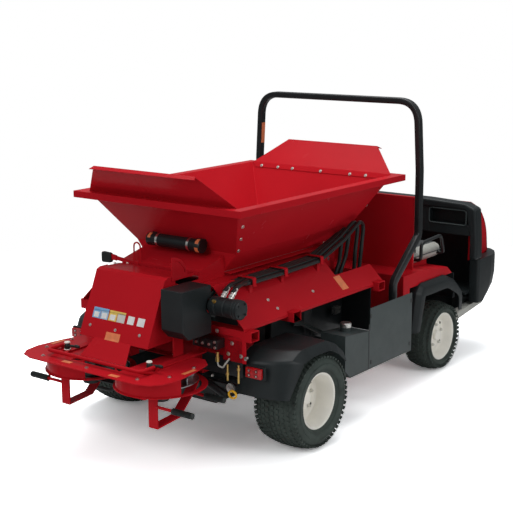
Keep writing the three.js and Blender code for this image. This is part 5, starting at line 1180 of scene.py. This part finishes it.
def arc_patch(inner, outer, x0, x1, a0, a1, centre, steps=12):
    """A curved patch on a tube that lies along X; angles in degrees from the rear, upwards."""
    rows = []
    for k in range(steps + 1):
        a = math.radians(a0 + (a1 - a0) * k / steps)
        rows.append([(x, centre.y - r * math.cos(a), centre.z + r * math.sin(a))
                     for x, r in ((x0, inner), (x0, outer), (x1, outer), (x1, inner))])
    return rows_joined(rows, True)


def dress_document_tube():
    """A smooth tube with a screw cap and two bands, seated in the frame's saddle."""
    dressed("document_tube", ENAMEL, 0.0015, 2, 46)
    low, high = box_of("document_tube")
    centre = Vector((0, low.y + 0.038, (low.z + high.z) / 2))
    x0, x1 = low.x, high.x
    tube = [(0, x0 + 0.002), (0.033, x0 + 0.002), (0.0375, x0 + 0.006), (0.0375, x1 - 0.036), (0, x1 - 0.036)]
    cap = [(0, x1 - 0.040), (0.0412, x1 - 0.040), (0.0418, x1 - 0.036), (0.0418, x1 - 0.006),
           (0.0396, x1 - 0.001), (0, x1)]
    made("document_tube_shell", [turned(tube, "X", 48, centre)], CHARCOAL, "black_plastic")
    made("document_tube_cap", [turned(cap, "X", 48, centre)], RUBBER, "black_rubber")
    made("document_tube_bands", [turned(
        [(0.0375, x), (0.0385, x), (0.0385, x + 0.016), (0.0375, x + 0.016)], "X", 48, centre, ring=True)
        for x in (x0 + 0.070, x1 - 0.100)], ZINC, "steel")
    made("document_tube_mark", [
        arc_patch(0.0418, 0.0424, x1 - 0.030, x1 - 0.006, -50, -5, centre),
        arc_patch(0.0418, 0.0424, x1 - 0.030, x1 - 0.006, 25, 75, centre),
        arc_patch(0.0375, 0.0381, x0 + 0.012, x0 + 0.034, 20, 80, centre)], ORANGE, "red_paint")


# Spinner attachment

def dress_spinner():
    """The deck, the two discs and the guard bar."""
    dressed("spinner_deck", RED, 0.0025, 3, 46)
    for side, _ in SIDES:
        dressed(side + "_spinner_disc", STEEL, 0.001, 2, 46)
    half = [(0.356, -1.000, 0.634), (0.356, -0.880, 0.634), (0.356, -0.880, 0.603)]
    route = rounded_path([(-x, y, z) for x, y, z in reversed(half)] + half, 0.034)
    made("guard_bar", [swept(route, 0.0104)], RED, "red_paint", "spinner_carriage")


def dress_grips():
    """Moulded grips with a plain core, close ribs and a flange at the inner end."""
    for node in ("left_rear_grip", "right_rear_grip", "left_front_grip", "right_front_grip"):
        low, high = box_of(node)
        centre, half = (low + high) / 2, (high.x - low.x) / 2
        core = [(0, -half), (0.0185, -half), (0.0185, -half + 0.004), (0.0158, -half + 0.007),
                (0.0158, half - 0.012), (0.017, half - 0.010), (0.017, half - 0.002), (0.014, half),
                (0, half)]
        made(node + "_core", [turned(core, "X", 28, centre, 1 if centre.x > 0 else -1)], RUBBER,
             body=body_of(node), swaps=(node,))
        grown(node + "_ribs", rib_tree(), points_mesh([ORIGIN]), {
            "Count": 19, "Step": (2 * half - 0.026) / 18, "Radius": 0.0178, "Width": 0.0034,
            "Finish": coat(RUBBER)}, body_of(node), "black_rubber", centre + Vector((-half + 0.012, 0, 0)))


def dress_clamps():
    """Black clamp levers on pale washers over the slide bars."""
    for side, sign in SIDES:
        node = side + "_clamp_lever"
        x, y = sign * 0.315, -0.885
        foot = (x, y, 0)
        hub = [(0, 0.6190), (0.0145, 0.6190), (0.0165, 0.6230), (0.0165, 0.6400), (0.0120, 0.6500),
               (0.0090, 0.6545), (0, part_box(node)[1].z)]
        arm = [(x, y, 0.634), (x + 0.045, y, 0.640), (x + 0.070, y, 0.643), (x + 0.094, y, 0.644)]
        end = [(0, 0), (0.0085, 0.001), (0.0100, 0.006), (0.0095, 0.022), (0.0060, 0.030), (0, 0.0315)]
        made(node + "_handle", [turned(hub, "Z", 32, foot), swept(arm, 0.0078),
                                turned(end, "X", 24, (x + 0.0645, y, 0.6435))],
             RUBBER, body=body_of(node), swaps=(node,))
        washer = [(0, 0.6137), (0.0195, 0.6137), (0.0200, 0.6145), (0.0200, 0.6175), (0.0190, 0.6188),
                  (0, 0.6188)]
        stud = [(0, 0.604), (0.0078, 0.604), (0.0078, 0.618), (0, 0.618)]
        knob = [(0, 0.6520), (0.0160, 0.6520), (0.0175, 0.6545), (0.0150, 0.6600), (0, 0.6620)]
        made(node + "_washer", [turned(washer, "Z", 40, foot), turned(stud, "Z", 20, foot),
                                turned(knob, "Z", 32, foot)], CREAM, "steel", body_of(node))


# Cab and lamps

def dress_steering_wheel():
    """A padded ring on three flat spokes over a hub and its column."""
    ring = [(0.170 * math.cos(a), 0.170 * math.sin(a), 0) for a in angles(72)]
    hub = [(0, -0.016), (0.038, -0.016), (0.040, -0.010), (0.040, 0.010), (0.034, 0.016), (0, 0.018)]
    column = [(0, -0.2585), (0.0215, -0.2585), (0.0215, -0.060), (0.030, -0.040), (0.034, -0.014),
              (0, -0.014)]
    parts = [swept(loop(ring), 0.0135, 16), turned(hub, "Z", 40), turned(column, "Z", 32)]
    for degrees in (90, 210, 330):
        a = math.radians(degrees)
        spoke = [(r * math.cos(a), r * math.sin(a), z)
                 for r, z in ((0.030, 0.002), (0.100, -0.003), (0.164, 0))]
        parts.append(swept(spoke, 0.010, 16, 0.45))
    at = Matrix.Translation((-0.330, 1.955, 1.105)) @ Matrix.Rotation(0.75, 4, "X")
    made("steering_wheel_rim", [moved(p, at) for p in parts], CHARCOAL, body=body_of("steering_wheel"),
         swaps=("steering_wheel",))


def pad_shape(half, depth, height, inset):
    """A starting shape for a pad, a little smaller than the room it fills."""
    bm = bmesh.new()
    bmesh.ops.create_cube(bm, size=1.0)
    for v in bm.verts:
        v.co = Vector((v.co.x * 2 * (half - inset), (v.co.y + 0.5) * (depth - 2 * inset) + inset,
                       (v.co.z + 0.5) * (height - 2 * inset) + inset))
    bmesh.ops.bevel(bm, geom=list(bm.edges), offset=height * 0.30, segments=4, profile=0.5,
                    affect="EDGES", clamp_overlap=True)
    mesh = bpy.data.meshes.new("pad")
    bm.to_mesh(mesh)
    bm.free()
    return mesh


def evaluated(obj):
    """The mesh that an object's modifiers give, with the modifiers taken off it."""
    mesh = bpy.data.meshes.new_from_object(obj.evaluated_get(bpy.context.evaluated_depsgraph_get()))
    obj.modifiers.clear()
    return mesh


def swollen(name, mesh, cap=0.010):
    """The pad after a short cloth simulation under pressure, with its movement capped."""
    obj = linked(name, mesh)
    remesh = obj.modifiers.new("voxels", "REMESH")
    remesh.mode = "VOXEL"
    remesh.voxel_size = 0.006
    obj.data = evaluated(obj)
    before = [v.co.copy() for v in obj.data.vertices]
    settings = obj.modifiers.new("cloth", "CLOTH").settings
    settings.quality = 4
    settings.mass = 0.3
    settings.use_pressure = True
    settings.uniform_pressure_force = 4.0
    settings.effector_weights.gravity = 0.0
    for step in range(1, 21):
        bpy.context.scene.frame_set(step)
    obj.data = evaluated(obj)
    for vertex, start in zip(obj.data.vertices, before):
        shift = vertex.co - start
        if shift.length > cap:
            vertex.co = start + shift.normalized() * cap
    bpy.context.scene.frame_set(1)
    return obj


SEAT_X = 0.330
SEAT_HALF, SEAT_DEPTH, SEAT_HEIGHT = 0.235, 0.460, 0.110
BACK_HALF = 0.222
SIDE_HIGHLIGHT_BAND = 0.178
BACK_LEAN = math.pi / 2 + 0.046 / 0.2547


def dress_cushion(form, name, matrix, body, swaps):
    """One pad with a pale band down each side, painted as the highlight on its curved sides."""
    mesh = form.data.copy()
    mesh.transform(Matrix.Translation(place(*ORIGIN)) @ matrix)
    mesh.name = name
    mesh.materials.clear()
    for material in (VINYL_DARK, VINYL_PALE_AND_SEAT_HIGHLIGHT):
        mesh.materials.append(coat(material))
    # Faces near each side of a pad take the pale finish: a band painted as the highlight along its curved
    # sides.
    for polygon in mesh.polygons:
        if abs(abs(polygon.center.x) - SEAT_X) > SIDE_HIGHLIGHT_BAND:
            polygon.material_index = 1
    mesh.shade_smooth()
    obj = linked(name, mesh)
    smooth = obj.modifiers.new("smooth", "SUBSURF")
    smooth.levels = smooth.render_levels = 1
    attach(obj, body)
    if swaps:
        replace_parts(obj, *swaps)


def dress_seats():
    """Padded seat and back cushions, a pale side band painted as a highlight, piping and a hip rail."""
    forms = [swollen("cushion_form", pad_shape(SEAT_HALF, SEAT_DEPTH, SEAT_HEIGHT, 0.011)),
             swollen("back_form", pad_shape(BACK_HALF, 0.262, 0.096, 0.010))]
    near, outer = SEAT_HALF - 0.030, SEAT_HALF + 0.030
    rail = [(near, 0.070, 0.040), (outer, 0.070, 0.040), (outer, 0.070, 0.160), (outer, 0.345, 0.175),
            (outer, 0.390, 0.040), (near, 0.390, 0.040)]
    for side, sign in SIDES:
        node = side + "_seat"
        body = body_of(node)
        base = Vector((sign * SEAT_X, 1.470, 0.7806))
        flat = Matrix.Translation(base)
        upright = Matrix.Translation(base + Vector((0, 0.146, 0.052))) @ Matrix.Rotation(BACK_LEAN, 4, "X")
        dress_cushion(forms[0], node + "_cushion", flat, body, (node,))
        dress_cushion(forms[1], node + "_back", upright, body, ())
        piping = []
        for matrix, wide, deep, level in (
                (flat, SEAT_HALF - 0.012, SEAT_DEPTH - 0.012, SEAT_HEIGHT * 0.52),
                (upright, BACK_HALF - 0.012, 0.250, 0.048)):
            outline = rounded_outline(rectangle((-wide, 0.012), (wide, deep)), 0.05, 8)
            piping.append(swept(loop([matrix @ Vector((u, v, level)) for u, v in outline]), 0.0036, 10))
        made(node + "_piping", piping, VINYL_DARK, "seat_vinyl", body)
        route = rounded_path([base + Vector((sign * x, y, z)) for x, y, z in rail], 0.045)
        made(node + "_hip_rail", [swept(route, 0.0118)], ENAMEL, "black_steel", body)
    for form in forms:
        data = form.data
        bpy.data.objects.remove(form)
        bpy.data.meshes.remove(data)


def dress_lamps():
    """Red lenses in the tail lamp housings, with four cups and bulbs in each."""
    lenses, cups, bulbs = [], [], []
    for _, sign in SIDES:
        x0, x1 = sorted((sign * 0.630, sign * 0.735))
        outline = rounded_outline(rectangle((x0, 0.519), (x1, 0.576)), 0.006, 4)
        lenses.append(slab(outline, -0.4520, -0.4322, "Y"))
        for x, z in ((0.655, 0.534), (0.655, 0.561), (0.704, 0.534), (0.704, 0.561)):
            cups.append(peg(0.0110, (sign * x, -0.4510, z), (sign * x, -0.4530, z), 24))
            bulbs.append(peg(0.0045, (sign * x, -0.4525, z), (sign * x, -0.4545, z), 16))
    made("tail_lamp_lenses", lenses, "lamp_red", "red_paint", edge=(0.0020, 3, 40))
    made("tail_lamp_cups", cups, "lamp_dark", "red_paint")
    made("tail_lamp_bulbs", bulbs, ZINC, "steel")


# Stage: a pale floor, soft lamps and the camera

FLOOR_REACH, FLOOR_SIDES, FLOOR_DROP = 9.0, 64, -0.0005
LAMPS = [
    ("top_softbox", (-0.6, 0.5, 6.0), (0, 0.2, 0.8), 4.2, 238.0),
    ("rear_softbox", (0.5, -6.5, 4.0), (0, 0, 0.8), 3.0, 104.0),
    ("side_softbox", (6.0, -0.5, 3.2), (0, 0, 0.8), 3.0, 82.0)]
CAMERA_SPOT = (4.4356, -5.3239, 2.5205)
YAW, PITCH, ROLL = 0.6527, 0.2078, -0.0048
SENSOR_WIDTH, PHOTO_WIDTH, FOCAL_PIXELS = 36.0, 513, 1171.34


def mixed(n, factor, first, second):
    """One of two shaders by a factor, or a blend of both."""
    return n.out("ShaderNodeMixShader", "Shader", {0: factor, 1: first, 2: second})


def set_world(scene):
    """A soft dome of light, white where the camera sees it."""
    world = bpy.data.worlds.new("studio")
    scene.world = world
    n = fresh_nodes(world)
    sky = n.out("ShaderNodeTexCoord", "Generated")
    dome = n.out("ShaderNodeMapRange", "Result", {
        "Value": n.out("ShaderNodeSeparateXYZ", "Z", {"Vector": sky}), "From Min": -0.2, "From Max": 0.9,
        "To Min": 0.12, "To Max": 0.56})
    soft = n.out("ShaderNodeBackground", "Background", {"Color": (0.94, 0.97, 1.0, 1), "Strength": dome})
    white = n.out("ShaderNodeBackground", "Background", {"Color": (1, 1, 1, 1), "Strength": 1.0})
    seen = n.out("ShaderNodeLightPath", "Is Camera Ray")
    n.add("ShaderNodeOutputWorld", {"Surface": mixed(n, seen, soft, white)})


def set_floor():
    """A pale round floor that fades out at its rim."""
    mesh = bpy.data.meshes.new("floor")
    mesh.from_pydata([(FLOOR_REACH * math.cos(a), FLOOR_REACH * math.sin(a), FLOOR_DROP)
                      for a in angles(FLOOR_SIDES)], [], [list(range(FLOOR_SIDES))])
    paper = bpy.data.materials.new("pale_floor")
    n = fresh_nodes(paper)
    where = n.out("ShaderNodeTexCoord", "Object")
    length = n.out("ShaderNodeVectorMath", "Value", {0: where}, operation="LENGTH")
    fade = n.out("ShaderNodeMapRange", "Result", {"Value": length, "From Min": 2.6, "From Max": 5.5},
                 interpolation_type="SMOOTHSTEP")
    seen = n.out("ShaderNodeLightPath", "Is Camera Ray")
    tone = n.out("ShaderNodeMapRange", "Result", {"Value": seen, "To Min": 0.80, "To Max": 2.0})
    plain = n.out("ShaderNodeBsdfDiffuse", "BSDF", {"Color": tone})
    glow = n.out("ShaderNodeEmission", "Emission", {
        "Color": (1, 1, 1, 1), "Strength": n.math("MULTIPLY", seen, 0.12)})
    matte = n.out("ShaderNodeAddShader", "Shader", {0: plain, 1: glow})
    clear = n.out("ShaderNodeBsdfTransparent", "BSDF")
    n.add("ShaderNodeOutputMaterial", {"Surface": mixed(n, fade, matte, clear)})
    mesh.materials.append(paper)
    linked("floor", mesh)


def set_camera(scene):
    """The camera that was fitted to the photograph."""
    ahead = Vector((-math.sin(YAW) * math.cos(PITCH), math.cos(YAW) * math.cos(PITCH), -math.sin(PITCH)))
    right = Vector((math.cos(YAW), math.sin(YAW), 0))
    above = right.cross(ahead)
    level_right = right * math.cos(ROLL) + above * math.sin(ROLL)
    level_up = above * math.cos(ROLL) - right * math.sin(ROLL)
    data = bpy.data.cameras.new("photo_camera")
    data.sensor_fit = "HORIZONTAL"
    data.sensor_width = SENSOR_WIDTH
    data.lens = FOCAL_PIXELS * SENSOR_WIDTH / PHOTO_WIDTH
    camera = linked("photo_camera", data)
    turn = Matrix((level_right, level_up, -ahead)).transposed()
    camera.matrix_world = Matrix.Translation(place(*CAMERA_SPOT)) @ turn.to_4x4()
    scene.camera = camera


def set_stage():
    scene = bpy.context.scene
    scene.view_settings.view_transform = "Standard"
    set_world(scene)
    set_floor()
    for name, spot, aim, size, power in LAMPS:
        data = bpy.data.lights.new(name, "AREA")
        data.shape = "SQUARE"
        data.size = size
        data.energy = power
        lamp = linked(name, data)
        lamp.location = spot
        lamp.rotation_euler = (Vector(aim) - Vector(spot)).to_track_quat("-Z", "Y").to_euler()
    set_camera(scene)


# Tools: one for each group of pieces, and one for the stage

class TOPDRESSER_OT_set_stage(bpy.types.Operator):
    """Set the floor, the lamps and the camera"""

    bl_idname = "topdresser.set_stage"
    bl_label = "Set Stage"

    def execute(self, context):
        set_stage()
        return {"FINISHED"}


class TOPDRESSER_OT_rear_wheels(bpy.types.Operator):
    """Build the rear tyres, rims and nuts"""

    bl_idname = "topdresser.rear_wheels"
    bl_label = "Rear Wheels"

    def execute(self, context):
        dress_wheels(REAR_WHEEL)
        return {"FINISHED"}


class TOPDRESSER_OT_front_wheels(bpy.types.Operator):
    """Build the front tyres, rims and nuts"""

    bl_idname = "topdresser.front_wheels"
    bl_label = "Front Wheels"

    def execute(self, context):
        dress_wheels(FRONT_WHEEL)
        return {"FINISHED"}


class TOPDRESSER_OT_running_gear(bpy.types.Operator):
    """Finish rails, axle, engine, belt and drive"""

    bl_idname = "topdresser.running_gear"
    bl_label = "Running Gear"

    def execute(self, context):
        dress_running_gear()
        return {"FINISHED"}


class TOPDRESSER_OT_sheet_metal(bpy.types.Operator):
    """Finish the hopper, covers, tubes, hood and gate"""

    bl_idname = "topdresser.sheet_metal"
    bl_label = "Sheet Metal"

    def execute(self, context):
        dress_sheet_metal()
        return {"FINISHED"}


class TOPDRESSER_OT_rear_sheets(bpy.types.Operator):
    """Build the red sheets between the hood and the rear tube"""

    bl_idname = "topdresser.rear_sheets"
    bl_label = "Rear Sheets"

    def execute(self, context):
        dress_rear_sheets()
        return {"FINISHED"}


class TOPDRESSER_OT_fenders(bpy.types.Operator):
    """Build the four moulded fenders"""

    bl_idname = "topdresser.fenders"
    bl_label = "Fenders"

    def execute(self, context):
        dress_fenders()
        return {"FINISHED"}


class TOPDRESSER_OT_dash(bpy.types.Operator):
    """Build the dash roll, the footwell and the bumper"""

    bl_idname = "topdresser.dash"
    bl_label = "Dash"

    def execute(self, context):
        dress_dash()
        return {"FINISHED"}


class TOPDRESSER_OT_carrier_shells(bpy.types.Operator):
    """Finish the side panels, the cab body and the hood"""

    bl_idname = "topdresser.carrier_shells"
    bl_label = "Carrier Shells"

    def execute(self, context):
        dress_carrier_shells()
        return {"FINISHED"}


class TOPDRESSER_OT_hoop(bpy.types.Operator):
    """Build the roll-over hoop"""

    bl_idname = "topdresser.hoop"
    bl_label = "Hoop"

    def execute(self, context):
        dress_hoop()
        return {"FINISHED"}


class TOPDRESSER_OT_conveyor_motor(bpy.types.Operator):
    """Build the conveyor motor and its fittings"""

    bl_idname = "topdresser.conveyor_motor"
    bl_label = "Conveyor Motor"

    def execute(self, context):
        dress_motor()
        return {"FINISHED"}


class TOPDRESSER_OT_hoses(bpy.types.Operator):
    """Lay the four hydraulic hoses and their clamps"""

    bl_idname = "topdresser.hoses"
    bl_label = "Hoses"

    def execute(self, context):
        dress_hoses()
        return {"FINISHED"}


class TOPDRESSER_OT_hydraulics(bpy.types.Operator):
    """Build the valve block and the fittings beside it"""

    bl_idname = "topdresser.hydraulics"
    bl_label = "Hydraulics"

    def execute(self, context):
        dress_hydraulics()
        return {"FINISHED"}


class TOPDRESSER_OT_document_tube(bpy.types.Operator):
    """Build the document tube"""

    bl_idname = "topdresser.document_tube"
    bl_label = "Document Tube"

    def execute(self, context):
        dress_document_tube()
        return {"FINISHED"}


class TOPDRESSER_OT_gate(bpy.types.Operator):
    """Build the gate lever's grip, its rod and the comb"""

    bl_idname = "topdresser.gate"
    bl_label = "Gate"

    def execute(self, context):
        dress_gate()
        return {"FINISHED"}


class TOPDRESSER_OT_spinner(bpy.types.Operator):
    """Build the spinner deck, its discs and guard bar"""

    bl_idname = "topdresser.spinner"
    bl_label = "Spinner"

    def execute(self, context):
        dress_spinner()
        return {"FINISHED"}


class TOPDRESSER_OT_grips(bpy.types.Operator):
    """Build the four ribbed grips"""

    bl_idname = "topdresser.grips"
    bl_label = "Grips"

    def execute(self, context):
        dress_grips()
        return {"FINISHED"}


class TOPDRESSER_OT_clamps(bpy.types.Operator):
    """Build the clamp levers and their washers"""

    bl_idname = "topdresser.clamps"
    bl_label = "Clamps"

    def execute(self, context):
        dress_clamps()
        return {"FINISHED"}


class TOPDRESSER_OT_rollers(bpy.types.Operator):
    """Finish the two belt rollers"""

    bl_idname = "topdresser.rollers"
    bl_label = "Rollers"

    def execute(self, context):
        dress_rollers()
        return {"FINISHED"}


class TOPDRESSER_OT_steering_wheel(bpy.types.Operator):
    """Build the steering wheel"""

    bl_idname = "topdresser.steering_wheel"
    bl_label = "Steering Wheel"

    def execute(self, context):
        dress_steering_wheel()
        return {"FINISHED"}


class TOPDRESSER_OT_seats(bpy.types.Operator):
    """Build the padded seats"""

    bl_idname = "topdresser.seats"
    bl_label = "Seats"

    def execute(self, context):
        dress_seats()
        return {"FINISHED"}


class TOPDRESSER_OT_tail_lamps(bpy.types.Operator):
    """Build the lenses of the tail lamps"""

    bl_idname = "topdresser.tail_lamps"
    bl_label = "Tail Lamps"

    def execute(self, context):
        dress_lamps()
        return {"FINISHED"}


class TOPDRESSER_OT_patches(bpy.types.Operator):
    """Lay the plain patches on hood, deck and cover"""

    bl_idname = "topdresser.patches"
    bl_label = "Patches"

    def execute(self, context):
        dress_patches()
        return {"FINISHED"}


class TOPDRESSER_OT_bolts(bpy.types.Operator):
    """Seat the bolts on their surfaces"""

    bl_idname = "topdresser.bolts"
    bl_label = "Bolts"

    def execute(self, context):
        dress_bolts()
        return {"FINISHED"}


TOOLS = [
    TOPDRESSER_OT_set_stage,
    TOPDRESSER_OT_rear_wheels,
    TOPDRESSER_OT_front_wheels,
    TOPDRESSER_OT_running_gear,
    TOPDRESSER_OT_sheet_metal,
    TOPDRESSER_OT_rear_sheets,
    TOPDRESSER_OT_fenders,
    TOPDRESSER_OT_dash,
    TOPDRESSER_OT_carrier_shells,
    TOPDRESSER_OT_hoop,
    TOPDRESSER_OT_conveyor_motor,
    TOPDRESSER_OT_hoses,
    TOPDRESSER_OT_hydraulics,
    TOPDRESSER_OT_document_tube,
    TOPDRESSER_OT_gate,
    TOPDRESSER_OT_spinner,
    TOPDRESSER_OT_grips,
    TOPDRESSER_OT_clamps,
    TOPDRESSER_OT_rollers,
    TOPDRESSER_OT_steering_wheel,
    TOPDRESSER_OT_seats,
    TOPDRESSER_OT_tail_lamps,
    TOPDRESSER_OT_patches,
    TOPDRESSER_OT_bolts,
]


class VIEW3D_PT_topdresser(bpy.types.Panel):
    """Lists the tools that dress the machine"""

    bl_label = "Lawn Topdresser"
    bl_space_type = "VIEW_3D"
    bl_region_type = "UI"
    bl_category = "Topdresser"

    def draw(self, context):
        for kind in TOOLS:
            self.layout.operator(kind.bl_idname)
        for group in (context.scene.topdresser_paint, context.scene.topdresser_sizes):
            for key in group.bl_rna.properties.keys():
                if key not in ("rna_type", "name"):
                    self.layout.prop(group, key)


CLASSES = [TopdresserPaint, TopdresserSizes] + TOOLS + [VIEW3D_PT_topdresser]


def register():
    for kind in CLASSES:
        bpy.utils.register_class(kind)
    bpy.types.Scene.topdresser_paint = PointerProperty(type=TopdresserPaint)
    bpy.types.Scene.topdresser_sizes = PointerProperty(type=TopdresserSizes)


def unregister():
    del bpy.types.Scene.topdresser_sizes
    del bpy.types.Scene.topdresser_paint
    for kind in reversed(CLASSES):
        bpy.utils.unregister_class(kind)


def main():
    register()
    for kind in TOOLS:
        name = kind.bl_idname.split(".")[1]
        if getattr(bpy.ops.topdresser, name)() != {"FINISHED"}:
            raise RuntimeError(name + " did not finish")


if __name__ == "__main__":
    main()
